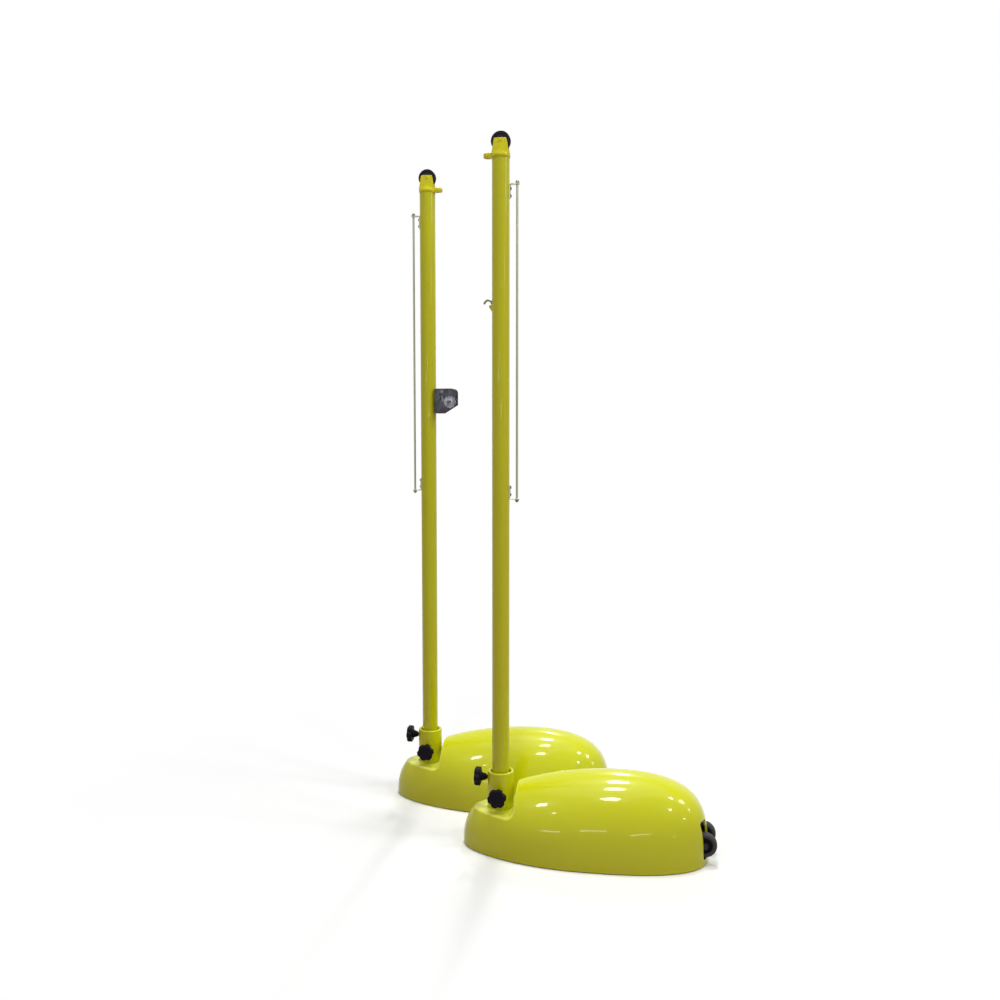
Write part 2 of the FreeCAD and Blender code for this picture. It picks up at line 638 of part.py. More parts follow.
def socket(post):
    """Socket tube welded to its flange, with the two threaded holes for the clamp screws."""
    name = post.name + "_socket"
    tube = cylinder(name + "_tube", "dims.socket_diameter / 2",
                    "dims.socket_top - " + PLATE_TOP, z=PLATE_TOP)
    flange = cylinder(name + "_flange", "dims.socket_flange_diameter / 2",
                      "dims.socket_flange_thickness", z=PLATE_TOP)
    tools = [cylinder(name + "_bore", "dims.socket_bore / 2", "dims.socket_top", z=PLATE_TOP)]
    for knob in KNOBS:
        tools.append(cylinder("%s_%s_thread" % (name, knob.name),
                              "dims.stud_diameter / 2 + dims.stud_thread_gap",
                              "dims.socket_diameter", z=knob.height,
                              turn=rotation(knob.axis, knob.angle)))
    for index, (x, y) in enumerate(socket_bolt_points()):
        tools.append(cylinder("%s_hole_%d" % (name, index),
                              "(dims.socket_bolt_diameter + dims.bolt_clearance) / 2",
                              "dims.socket_flange_thickness", str(x), str(y), PLATE_TOP))
    keep_on_base(cut(name + "_cut", join(name + "_weldment", tube, flange), *tools),
                 post, "pole_socket")


def pole_seat(post):
    """Plastic cup at the bottom of the socket that carries the pole's end."""
    name = post.name + "_seat"
    cup = cylinder(name + "_cup", "dims.socket_bore / 2 - dims.turning_gap",
                   "dims.seat_height", z=PLATE_TOP)
    bore = cylinder(name + "_bore", POLE_RADIUS + " + dims.turning_gap",
                    "dims.seat_height", z=POLE_FOOT)
    keep_on_base(cut(name + "_cut", cup, bore), post, "pole_seat")


def clamp_knob(post, knob):
    """Six-lobed grip, its screw and the pad that presses on the pole, drawn along +Z."""
    name = "%s_%s" % (post.name, knob.name)
    turn = rotation(knob.axis, knob.angle)
    head = cylinder(name + "_disc", "dims.knob_diameter / 2", "dims.knob_thickness", z=KNOB_BACK)
    lobes = int(number("dims.knob_lobes"))
    centre = number("dims.knob_diameter / 2 - dims.knob_scallop_depth + dims.knob_scallop_radius")
    scallops = []
    for index in range(lobes):
        angle = 2 * math.pi * (index + 0.5) / lobes
        scallops.append(cylinder("%s_scallop_%d" % (name, index), "dims.knob_scallop_radius",
                                 "dims.knob_thickness", str(centre * math.cos(angle)),
                                 str(centre * math.sin(angle)), KNOB_BACK))
    star = cut(name + "_star", head, *scallops)
    star = rounded(name + "_soft_star", star, "dims.knob_rounding",
                   lambda edge: edge.BoundBox.ZLength < number("dims.knob_rounding / 10"))
    hub = cone(name + "_hub", "dims.knob_hub_tip_diameter / 2", "dims.knob_hub_diameter / 2",
               "dims.knob_hub_length", z=KNOB_BACK + " - dims.knob_hub_length")
    bore = cylinder(name + "_bore", "dims.stud_diameter / 2 + dims.running_gap",
                    "dims.knob_hub_length + dims.stud_in_head",
                    z=KNOB_BACK + " - dims.knob_hub_length")
    grip = cut(name + "_grip_cut", join(name + "_grip_body", star, hub), bore)
    keep(grip, name + "_grip", post.x, post.y, knob.height, turn)

    stud = cylinder(name + "_stud_body", "dims.stud_diameter / 2",
                    "%s + dims.stud_in_head - %s" % (KNOB_BACK, STUD_TIP), z=STUD_TIP)
    socket_bore = cylinder(name + "_stem_bore", "dims.pad_stem_diameter / 2 + dims.running_gap",
                           "dims.pad_stem_length + 2 * dims.turning_gap", z=STUD_TIP)
    keep(cut(name + "_stud_cut", stud, socket_bore), name + "_screw",
         post.x, post.y, knob.height, turn)

    disc = cylinder(name + "_pad_disc", "dims.clamp_pad_diameter / 2",
                    "dims.clamp_pad_thickness", z=PAD_TIP)
    stem = cylinder(name + "_pad_stem", "dims.pad_stem_diameter / 2",
                    "dims.pad_stem_length + dims.clamp_pad_thickness", z=PAD_TIP)
    keep(join(name + "_pad_body", disc, stem), name + "_pad", post.x, post.y, knob.height, turn)


# Transport wheels

def wheel_pair(post):
    """Two wheels on one axle, with the bracket that carries it."""
    name = post.name + "_wheels"
    for side, sign in (("left", 1), ("right", -1)):
        turn = TOWARDS_PLUS_Y if sign > 0 else TOWARDS_MINUS_Y
        tread = cylinder("%s_%s_tread" % (name, side), "dims.wheel_diameter / 2",
                         "dims.wheel_width", z="dims.wheel_offset - dims.wheel_width / 2")
        tread = rounded("%s_%s_round_tread" % (name, side), tread, "dims.wheel_crown",
                        lambda edge: edge.BoundBox.XLength > number("dims.wheel_diameter / 2"))
        hub = cylinder("%s_%s_hub" % (name, side), "dims.hub_diameter / 2",
                       "dims.hub_outer - dims.ear_outer - dims.turning_gap",
                       z="dims.ear_outer + dims.turning_gap")
        bore = cylinder("%s_%s_bore" % (name, side), "dims.axle_diameter / 2 + dims.running_gap",
                        "dims.axle_half_length")
        wheel = cut("%s_%s_cut" % (name, side),
                    join("%s_%s_body" % (name, side), tread, hub), bore)
        keep(wheel, "%s_%s_wheel" % (post.name, side), post.x + " + " + AXLE_X, post.y,
             "dims.axle_height", turn)

    axle = cylinder(name + "_axle", "dims.axle_diameter / 2", "2 * dims.axle_half_length")
    keep(axle, post.name + "_wheel_axle", post.x + " + " + AXLE_X,
         post.y + " - dims.axle_half_length", "dims.axle_height", TOWARDS_PLUS_Y)

    foot = box(name + "_foot", "dims.bracket_foot_length", "2 * dims.ear_outer",
               "dims.ear_thickness", AXLE_X + " - dims.bracket_foot_length",
               "-dims.ear_outer", PLATE_TOP)
    members = [foot]
    for side, start in (("left", "dims.ear_outer - dims.ear_thickness"),
                        ("right", "-dims.ear_outer")):
        members.append(box("%s_%s_ear" % (name, side), "dims.ear_length", "dims.ear_thickness",
                           "dims.axle_height - " + PLATE_TOP,
                           AXLE_X + " - dims.ear_length", start, PLATE_TOP))
        members.append(cylinder("%s_%s_ear_end" % (name, side), "dims.ear_radius",
                                "dims.ear_thickness", AXLE_X, start, "dims.axle_height",
                                TOWARDS_PLUS_Y))
    bore = cylinder(name + "_ear_bore", "dims.axle_diameter / 2 + dims.running_gap",
                    "2 * dims.ear_outer", AXLE_X, "-dims.ear_outer", "dims.axle_height",
                    TOWARDS_PLUS_Y)
    keep_on_base(cut(name + "_bracket_cut", join(name + "_bracket", *members), bore),
                 post, "axle_bracket")


def axle_clips():
    """Rings that keep the wheels on their axles, for both posts."""
    members = []
    for post in POSTS:
        clips = []
        for side, start in (("left", "dims.hub_outer + dims.turning_gap"),
                            ("right", "-dims.hub_outer - dims.turning_gap - dims.clip_thickness")):
            name = "%s_%s_clip" % (post.name, side)
            ring = cylinder(name + "_ring", "dims.clip_diameter / 2", "dims.clip_thickness",
                            AXLE_X, start, "dims.axle_height", TOWARDS_PLUS_Y)
            bore = cylinder(name + "_bore", "dims.axle_diameter / 2 + dims.running_gap",
                            "dims.clip_thickness", AXLE_X, start, "dims.axle_height",
                            TOWARDS_PLUS_Y)
            clips.append(cut(name, ring, bore))
        members.append(at_post(group(post.name + "_clip_set", *clips), post))
    keep(group("clip_sets", *members), "axle_clips")


# Pole, pulley and lacing rod, drawn with the rod towards +X and the cord eye towards -X

def rivet_heights():
    """Heights of the rod brackets' rivets."""
    first, pitch = number("dims.rivet_first"), number("dims.rivet_pitch")
    low, high = number(ROD_LOW), number(ROD_HIGH)
    return low + first, low + first + pitch, high - first - pitch, high - first


def winch_screw_heights():
    """Heights of the winch's screws."""
    inset = number("dims.winch_screw_inset")
    return number(WINCH_LOW) + inset, number(WINCH_HIGH) - inset


def circle_sketch(body, radii):
    """Sketch of circles about the body's axis, with each radius bound to the sheet."""
    plane = [item for item in body.Origin.OriginFeatures if item.Role == "XY_Plane"][0]
    sketch = body.newObject("Sketcher::SketchObject", body.Name + "_sketch")
    sketch.AttachmentSupport = [(plane, "")]
    sketch.MapMode = "FlatFace"
    for index, radius in enumerate(radii):
        circle = Part.Circle(FreeCAD.Vector(), Z_AXIS, number(radius))
        sketch.addGeometry(circle, False)
        sketch.addConstraint(Sketcher.Constraint("Coincident", index, 3, -1, 1))
        row = sketch.addConstraint(Sketcher.Constraint("Radius", index, number(radius)))
        sketch.setExpression("Constraints[%d]" % row, radius)
    return sketch


def padded_body(name, radii, length):
    """Body padded up from the circles' sketch."""
    body = document.addObject("PartDesign::Body", name)
    pad = body.newObject("PartDesign::Pad", name + "_pad")
    pad.Profile = circle_sketch(body, radii)
    pad.setExpression("Length", length)
    body.Tip = pad
    return body


def pole_tube(post):
    """Pole tube with the holes for what is riveted and screwed to it."""
    name = post.name + "_pole"
    tube = padded_body(name + "_blank", (POLE_RADIUS, POLE_BORE), "dims.pole_top - " + POLE_FOOT)
    seat(tube, z=POLE_FOOT)
    holes = [cylinder("%s_rivet_hole_%d" % (name, index),
                      "dims.rivet_diameter / 2 + dims.running_gap", "dims.pole_diameter",
                      z=str(height), turn=TOWARDS_PLUS_X)
             for index, height in enumerate(rivet_heights())]
    if post.name == "winch_post":
        holes += [cylinder("%s_screw_hole_%d" % (name, index),
                           "dims.winch_screw_diameter / 2 + dims.running_gap",
                           "dims.pole_diameter", z=str(height), turn=TOWARDS_MINUS_X)
                  for index, height in enumerate(winch_screw_heights())]
    keep_on_pole(cut(name + "_cut", tube, *holes), post, "pole_tube")


def cheek_points():
    """Outline of a cheek plate in X and Z, below its rounded corners."""
    base, top = number("dims.cheek_base_width / 2"), number("dims.cheek_top_width / 2")
    low, high = number(FLANGE_TOP), number(CHEEK_TOP)
    return [(-base, low), (base, low), (top, high), (-top, high)]


def pulley_bracket(post):
    """Disc with a cord eye, two cheeks for the pulley wheel and a spigot in the pole."""
    name = post.name + "_bracket"
    disc = cylinder(name + "_disc", "dims.flange_diameter / 2", "dims.flange_thickness",
                    z="dims.pole_top")
    tongue = box(name + "_tongue", "dims.eye_offset", "2 * dims.eye_outer_radius",
                 "dims.eye_thickness", "-dims.eye_offset", "-dims.eye_outer_radius",
                 "dims.pole_top")
    ring = cylinder(name + "_ring", "dims.eye_outer_radius", "dims.eye_thickness",
                    "-dims.eye_offset", z="dims.pole_top")
    spigot = cylinder(name + "_spigot", POLE_BORE + " - dims.running_gap", "dims.spigot_length",
                      z="dims.pole_top - dims.spigot_length")
    spigot_bore = cylinder(name + "_spigot_bore",
                           POLE_BORE + " - dims.running_gap - dims.spigot_wall",
                           "dims.spigot_length", z="dims.pole_top - dims.spigot_length")
    cheeks = []
    inner, thickness = number(CHEEK_INNER), number("dims.cheek_thickness")
    for side, start in (("back", inner), ("front", -inner - thickness)):
        plate = solid_of("%s_%s_cheek" % (name, side),
                         prism_from(cheek_points(), start, thickness))
        high = number(CHEEK_TOP)
        cheeks.append(rounded("%s_%s_round_cheek" % (name, side), plate, "dims.cheek_corner",
                              lambda edge: edge.BoundBox.ZMin > high - 1e-3
                              and edge.BoundBox.YLength > thickness / 2))
    eye = cylinder(name + "_eye", "dims.eye_radius", "dims.eye_thickness",
                   "-dims.eye_offset", z="dims.pole_top")
    pin_bore = cylinder(name + "_pin_bore", "dims.pulley_pin_diameter / 2 + dims.running_gap",
                        "2 * " + CHEEK_OUTER, y="-" + CHEEK_OUTER, z=SHEAVE_AXIS,
                        turn=TOWARDS_PLUS_Y)
    weldment = join(name + "_weldment", disc, tongue, ring, spigot, *cheeks)
    keep_on_pole(cut(name + "_cut", weldment, spigot_bore, eye, pin_bore), post, "pulley_bracket")


def sheave(post):
    """Grooved pulley wheel and the pin that it turns on, drawn along +Z."""
    name = post.name + "_sheave"
    disc = cylinder(name + "_disc", "dims.sheave_diameter / 2", "dims.sheave_width",
                    z="-dims.sheave_width / 2")
    groove = torus(name + "_groove", "dims.sheave_diameter / 2 + dims.sheave_groove_lift",
                   "dims.sheave_groove_radius")
    bore = cylinder(name + "_bore", "dims.pulley_pin_diameter / 2 + dims.running_gap",
                    "dims.sheave_width", z="-dims.sheave_width / 2")
    keep(cut(name + "_cut", disc, groove, bore), name, post.x, post.y, SHEAVE_AXIS,
         TOWARDS_PLUS_Y)

    pin = cylinder(name + "_pin_body", "dims.pulley_pin_diameter / 2", "2 * " + CHEEK_OUTER,
                   z="-" + CHEEK_OUTER)
    heads = [cylinder("%s_pin_%s_head" % (name, side), "dims.pulley_pin_head_diameter / 2",
                      "dims.pulley_pin_head_height", z=start)
             for side, start in (("back", CHEEK_OUTER),
                                 ("front", "-%s - dims.pulley_pin_head_height" % CHEEK_OUTER))]
    keep(join(name + "_pin_joined", pin, *heads), name + "_pin", post.x, post.y,
         SHEAVE_AXIS, TOWARDS_PLUS_Y)


def rod_bracket(post, end, arm_low, leg_low, rivets):
    """Strip bent to the pole's curve, with an arm that holds one end of the lacing rod."""
    name = "%s_rod_%s_bracket" % (post.name, end)
    outside = cylinder(name + "_outside", POLE_RADIUS + " + dims.arm_thickness",
                       "dims.leg_length", z=leg_low)
    inside = cylinder(name + "_inside", POLE_RADIUS + " + dims.running_gap",
                      "dims.leg_length", z=leg_low)
    strip = box(name + "_strip", "dims.pole_diameter", "dims.arm_width", "dims.leg_length",
                "0", "-dims.arm_width / 2", leg_low)
    leg = common(name + "_leg", cut(name + "_sleeve", outside, inside), strip)
    arm = box(name + "_arm", "dims.rod_offset - %s - dims.arm_thickness / 2" % POLE_RADIUS,
              "dims.arm_width", "dims.arm_thickness", POLE_RADIUS + " + dims.arm_thickness / 2",
              "-dims.arm_width / 2", arm_low)
    tip = cylinder(name + "_tip", "dims.arm_width / 2", "dims.arm_thickness", "dims.rod_offset",
                   z=arm_low)
    rod_hole = cylinder(name + "_rod_hole", "dims.rod_diameter / 2 + dims.running_gap",
                        "dims.arm_thickness", "dims.rod_offset", z=arm_low)
    holes = [cylinder("%s_rivet_hole_%d" % (name, index),
                      "dims.rivet_diameter / 2 + dims.running_gap", "dims.pole_diameter",
                      z=str(height), turn=TOWARDS_PLUS_X)
             for index, height in enumerate(rivets)]
    return cut(name, join(name + "_body", leg, arm, tip), rod_hole, *holes)


def lacing_rod(post):
    """Rod that the net's edge is laced to, its brackets, rivets and domed nuts."""
    name = post.name + "_rod"
    low_end = "(%s - dims.cap_nut_height)" % ROD_LOW
    high_end = "(%s + dims.cap_nut_height)" % ROD_HIGH
    rod = cylinder(name + "_body", "dims.rod_diameter / 2", high_end + " - " + low_end,
                   "dims.rod_offset", z=low_end)
    keep_on_pole(group(name + "_placed", rod), post, "lacing_rod")

    heights = rivet_heights()
    low = rod_bracket(post, "low", ROD_LOW, ROD_LOW, heights[:2])
    high = rod_bracket(post, "high", ROD_HIGH + " - dims.arm_thickness",
                       ROD_HIGH + " - dims.leg_length", heights[2:])
    keep_on_pole(group(name + "_bracket_pair", low, high), post, "rod_brackets")

    rivets = []
    head_start = POLE_RADIUS + " + dims.arm_thickness"
    for index, height in enumerate(heights):
        part = "%s_rivet_%d" % (name, index)
        head = cylinder(part + "_head", "dims.rivet_head_diameter / 2", "dims.rivet_head_height",
                        head_start, z=str(height), turn=TOWARDS_PLUS_X)
        shank = cylinder(part + "_shank", "dims.rivet_diameter / 2",
                         "dims.arm_thickness + dims.rivet_grip",
                         POLE_RADIUS + " - dims.rivet_grip", z=str(height), turn=TOWARDS_PLUS_X)
        rivets.append(join(part, head, shank))
    keep_on_pole(group(name + "_rivet_set", *rivets), post, "rod_rivets")

    nuts = []
    for end, face, flip in (("low", ROD_LOW, 180), ("high", ROD_HIGH, 0)):
        part = "%s_%s_nut" % (name, end)
        hex_body = hexagon(part + "_hex", "dims.cap_nut_diameter", "dims.cap_nut_height")
        ball = sphere(part + "_ball", "dims.cap_nut_dome", z="dims.cap_nut_height")
        upper = box(part + "_upper", "dims.cap_nut_diameter", "dims.cap_nut_diameter",
                    "dims.cap_nut_diameter", "-dims.cap_nut_diameter / 2",
                    "-dims.cap_nut_diameter / 2", "dims.cap_nut_height")
        bore = cylinder(part + "_bore", "dims.rod_diameter / 2 + dims.running_gap",
                        "dims.cap_nut_height + dims.turning_gap")
        nut = cut(part, join(part + "_body", hex_body, common(part + "_dome", ball, upper)), bore)
        nuts.append(seat(nut, "dims.rod_offset", z=face, turn=rotation(X_AXIS, flip)))
    keep_on_pole(group(name + "_nut_pair", *nuts), post, "rod_cap_nuts")


# Cord hook of the hook post

def cord_hook(post):
    """Bent wire that opens downwards, welded to the pole, and the gusset under it."""
    name = post.name + "_hook"
    start = number("dims.hook_start")
    turn = rotation(X_AXIS, 90).multiply(rotation(Z_AXIS, start))
    bend = torus(name + "_bend", "dims.hook_bend", "dims.hook_wire / 2", "-dims.hook_offset",
                 z="dims.hook_height", turn=turn)
    bend.setExpression("Angle3", "dims.hook_sweep")
    tip = "(dims.hook_start + dims.hook_sweep)"
    ball = sphere(name + "_tip", "dims.hook_wire / 2",
                  "-dims.hook_offset + dims.hook_bend * cos(1deg * %s)" % tip,
                  z="dims.hook_height + dims.hook_bend * sin(1deg * %s)" % tip)
    pole = cylinder(name + "_pole", POLE_RADIUS, "4 * dims.hook_bend",
                    z="dims.hook_height - 2 * dims.hook_bend")
    keep_on_pole(cut(name + "_cut", join(name + "_wire", bend, ball), pole), post, "cord_hook")

    corner = number(GUSSET_CORNER)
    inside = -number(POLE_RADIUS + " * 0.9")
    points = [(inside, corner - number("dims.gusset_drop")),
              (inside, corner + number("dims.gusset_rise")),
              (-number("dims.gusset_reach"), corner)]
    thickness = number("dims.gusset_thickness")
    plate = solid_of(name + "_gusset_plate", prism_from(points, -thickness / 2, thickness))
    weld = cylinder(name + "_gusset_pole", POLE_RADIUS, "4 * dims.gusset_drop",
                    z=GUSSET_CORNER + " - 2 * dims.gusset_drop")
    keep_on_pole(cut(name + "_gusset_cut", plate, weld), post, "hook_gusset")


# Ratchet winch of the winch post, on the same side of the pole as the cord eye

def winch_frame(post):
    """Sheet folded to a channel, with its side plates cut back below."""
    name = post.name + "_winch"
    low, high = number(WINCH_LOW), number(WINCH_HIGH)
    reach, corner = number("dims.drum_x + dims.winch_lip"), number("dims.winch_corner")
    back = number(POLE_RADIUS)
    points = [(-back, low), (-number("dims.winch_foot_reach"), low),
              (-reach, number("dims.drum_height - dims.winch_nose_drop")),
              (-reach, high - corner),
              (-reach + corner * 0.3, high - corner * 0.3), (-reach + corner, high),
              (-back, high)]
    half, sheet_thickness = number("dims.winch_inner_width / 2"), number("dims.winch_sheet")
    sides = [solid_of("%s_%s_side" % (name, side), prism_from(points, start, sheet_thickness))
             for side, start in (("front", half), ("back", -half - sheet_thickness))]
    web = box(name + "_web", "dims.winch_sheet", "2 * " + WINCH_FACE,
              "dims.winch_rise + dims.winch_drop",
              "-%s - dims.winch_sheet" % POLE_RADIUS, "-" + WINCH_FACE, WINCH_LOW)
    tools = [cylinder(name + "_shaft_bore", "dims.drum_shaft_radius + dims.running_gap",
                      "2 * " + WINCH_FACE, "-dims.drum_x", "-" + WINCH_FACE, "dims.drum_height",
                      TOWARDS_PLUS_Y),
             cylinder(name + "_pawl_bore", "dims.pawl_pin_diameter / 2 + dims.running_gap",
                      "dims.winch_sheet", "-dims.drum_x + dims.pawl_pivot_back",
                      "dims.winch_inner_width / 2", "dims.drum_height + dims.pawl_pivot_rise",
                      TOWARDS_PLUS_Y)]
    tools += [cylinder("%s_screw_bore_%d" % (name, index),
                       "dims.winch_screw_diameter / 2 + dims.running_gap", "dims.pole_diameter",
                       z=str(height), turn=TOWARDS_MINUS_X)
              for index, height in enumerate(winch_screw_heights())]
    keep_on_pole(cut(name + "_cut", join(name + "_channel", web, *sides), *tools),
                 post, "winch_frame")

    screws = []
    for index, height in enumerate(winch_screw_heights()):
        part = "%s_screw_%d" % (name, index)
        head = cylinder(part + "_head", "dims.winch_screw_head_diameter / 2",
                        "dims.winch_screw_head_height",
                        "-%s - dims.winch_sheet" % POLE_RADIUS, z=str(height),
                        turn=TOWARDS_MINUS_X)
        shank = cylinder(part + "_shank", "dims.winch_screw_diameter / 2",
                         "dims.winch_sheet + dims.winch_screw_grip",
                         "-%s + dims.winch_screw_grip" % POLE_RADIUS, z=str(height),
                         turn=TOWARDS_MINUS_X)
        screws.append(join(part, head, shank))
    keep_on_pole(group(name + "_screw_pair", *screws), post, "winch_screws")


def winch_drum(post):
    """Spool on its shaft, with a collar behind and a square for the crank in front."""
    name = post.name + "_drum"
    half = "(dims.winch_inner_width / 2 - dims.turning_gap)"
    place = {"x": "-dims.drum_x", "z": "dims.drum_height", "turn": TOWARDS_PLUS_Y}
    core = cylinder(name + "_core", "dims.drum_core_radius", "2 * " + half, y="-" + half, **place)
    discs = [cylinder("%s_%s_disc" % (name, side), "dims.drum_flange_radius",
                      "dims.drum_flange_thickness", y=start, **place)
             for side, start in (("front", half + " - dims.drum_flange_thickness"),
                                 ("back", "-" + half))]
    shaft = cylinder(name + "_shaft", "dims.drum_shaft_radius",
                     "%s + %s + dims.turning_gap" % (WINCH_FACE, RATCHET_FRONT),
                     y="-%s - dims.turning_gap" % WINCH_FACE, **place)
    collar = cylinder(name + "_collar", "dims.drum_collar_radius", "dims.drum_collar_thickness",
                      y="-%s - dims.turning_gap - dims.drum_collar_thickness" % WINCH_FACE,
                      **place)
    square = box(name + "_square", "dims.drum_square", "dims.drum_square_length",
                 "dims.drum_square", "-dims.drum_x - dims.drum_square / 2", RATCHET_FRONT,
                 "dims.drum_height - dims.drum_square / 2")
    keep_on_pole(join(name + "_joined", core, shaft, collar, square, *discs), post, "winch_drum")


def face_lean():
    """Angle by which the tip of a tooth's face runs ahead of its root, in radians."""
    root, tip = number("dims.ratchet_root_radius"), number("dims.ratchet_tip_radius")
    return (tip - root) * math.tan(math.radians(number("dims.ratchet_face_lean"))) / tip


def ratchet_wheel(post):
    """Saw-toothed wheel on the front of the drum's shaft."""
    name = post.name + "_ratchet"
    teeth = int(number("dims.ratchet_teeth"))
    root, tip = number("dims.ratchet_root_radius"), number("dims.ratchet_tip_radius")
    axis_x, axis_z = -number("dims.drum_x"), number("dims.drum_height")
    points = []
    for index in range(teeth):
        face = math.radians(number("dims.ratchet_face_angle")) + 2 * math.pi * index / teeth
        for radius, angle in ((root, face), (tip, face + face_lean())):
            points.append((axis_x - radius * math.cos(angle), axis_z + radius * math.sin(angle)))
    wheel = solid_of(name + "_teeth", prism_from(points, number(RATCHET_BACK),
                                                number("dims.ratchet_thickness")))
    bore = cylinder(name + "_bore", "dims.drum_shaft_radius + dims.running_gap",
                    "dims.ratchet_thickness", "-dims.drum_x", RATCHET_BACK, "dims.drum_height",
                    TOWARDS_PLUS_Y)
    keep_on_pole(cut(name + "_cut", wheel, bore), post, "ratchet_wheel")


def pawl_points():
    """Outline of the pawl in X and Z: nose in the teeth, boss round its pin, finger tab, foot."""
    axis_x, axis_z = number("dims.drum_x"), number("dims.drum_height")
    pivot_x = axis_x - number("dims.pawl_pivot_back")
    pivot_z = axis_z + number("dims.pawl_pivot_rise")
    root, tip = number("dims.ratchet_root_radius"), number("dims.ratchet_tip_radius")
    play = number("dims.pawl_play")
    pitch = 2 * math.pi / number("dims.ratchet_teeth")
    face = math.radians(number("dims.ratchet_face_angle"))

    def by_tooth(radius, back):
        """Point by its radius and its angle before the tooth's face."""
        return axis_x + radius * math.cos(face - back), axis_z + radius * math.sin(face - back)

    def by_pivot(radius, degrees):
        """Point by its radius and angle about the pawl's pin."""
        angle = math.radians(degrees)
        return pivot_x + radius * math.cos(angle), pivot_z + radius * math.sin(angle)

    boss, length = number("dims.pawl_boss_radius"), number("dims.pawl_tab_length")
    tab = number("dims.pawl_tab_angle")
    half = number("dims.pawl_tab_width / 2")
    spread = math.degrees(math.atan2(half, length))
    nose_x, nose_z = by_tooth(root + play, play / root)
    points = [(nose_x, nose_z),
              by_tooth(root + play + (tip - root) * 0.36, pitch * 0.36),
              by_tooth(tip + play, pitch * 0.7)]
    points += [by_pivot(boss, degrees) for degrees in (0, 40, 80, 120, 160, 190)]
    points += [by_pivot(length, tab - spread), by_pivot(length, tab + spread),
               by_pivot(number("dims.pawl_notch_radius"), number("dims.pawl_notch_angle"))]
    root_x, root_z = by_tooth(root, 0)
    tip_x, tip_z = by_tooth(tip, -face_lean())
    share = number("dims.pawl_foot_length") / math.hypot(tip_x - root_x, tip_z - root_z)
    points.append((nose_x + share * (tip_x - root_x), nose_z + share * (tip_z - root_z)))
    return [(-x, z) for x, z in points]


def pawl(post):
    """Pawl that stops the ratchet wheel, and the headed pin that it turns on."""
    name = post.name + "_pawl"
    place = {"x": "-dims.drum_x + dims.pawl_pivot_back",
             "z": "dims.drum_height + dims.pawl_pivot_rise", "turn": TOWARDS_PLUS_Y}
    plate = solid_of(name + "_plate", prism_from(pawl_points(), number(RATCHET_BACK),
                                                 number("dims.ratchet_thickness")))
    bore = cylinder(name + "_bore", "dims.pawl_pin_diameter / 2 + dims.running_gap",
                    "dims.ratchet_thickness", y=RATCHET_BACK, **place)
    keep_on_pole(cut(name + "_cut", plate, bore), post, "pawl")

    shank = cylinder(name + "_pin_shank", "dims.pawl_pin_diameter / 2",
                     "dims.winch_sheet + dims.ratchet_gap + dims.ratchet_thickness"
                     " + dims.turning_gap", y="dims.winch_inner_width / 2", **place)
    head = cylinder(name + "_pin_head", "dims.pawl_pin_head_diameter / 2",
                    "dims.pawl_pin_head_height", y=RATCHET_FRONT + " + dims.turning_gap", **place)
    keep_on_pole(join(name + "_pin_joined", shank, head), post, "pawl_pin")


# Build both posts: the two shells and the two plates are the same shape

moulded_shell = shell_shape()
steel_plate = plate_shape()
for post in POSTS:
    keep_on_base(solid_of(post.name + "_shell_shape", moulded_shell), post, "base_shell")
    keep_on_base(solid_of(post.name + "_plate_shape", steel_plate), post, "base_plate")
    weight(post)
    socket(post)
    pole_seat(post)
    for knob in KNOBS:
        clamp_knob(post, knob)
    wheel_pair(post)
    pole_tube(post)
    pulley_bracket(post)
    sheave(post)
    lacing_rod(post)

weight_bolts()
socket_bolts()
shell_screws()
rubber_feet()
axle_clips()

hook_post, winch_post = POSTS
cord_hook(hook_post)
winch_frame(winch_post)
winch_drum(winch_post)
ratchet_wheel(winch_post)
pawl(winch_post)

document.recompute()

# Check every object and sub-part, then write one file for each sub-part
for item in document.Objects:
    if "Invalid" in item.State or "Error" in item.State:
        raise RuntimeError("%s failed: %s" % (item.Name, item.State))
for item in pieces:
    if item.Shape.isNull() or not item.Shape.isValid() or not item.Shape.Solids:
        raise RuntimeError("%s has no valid solid" % item.Label)

os.makedirs("parts", exist_ok=True)
for item in pieces:
    item.Shape.exportStep(os.path.join("parts", item.Label + ".step"))
print("%d sub-parts, %d solids" % (len(pieces), sum(len(item.Shape.Solids) for item in pieces)))
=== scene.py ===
"""Dressed model of a pair of free-standing net posts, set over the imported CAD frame.

Sizes are in millimetres and become metres when a mesh is made. Every piece is worked out where it
stands: the pieces of a post about the foot of its pole, with +Z up, and are then moved to the
post's place in the row frame. A pole's pieces are worked out with the lacing rod towards +X.
"""
from __future__ import annotations

import logging
import math
from dataclasses import dataclass
from enum import Enum

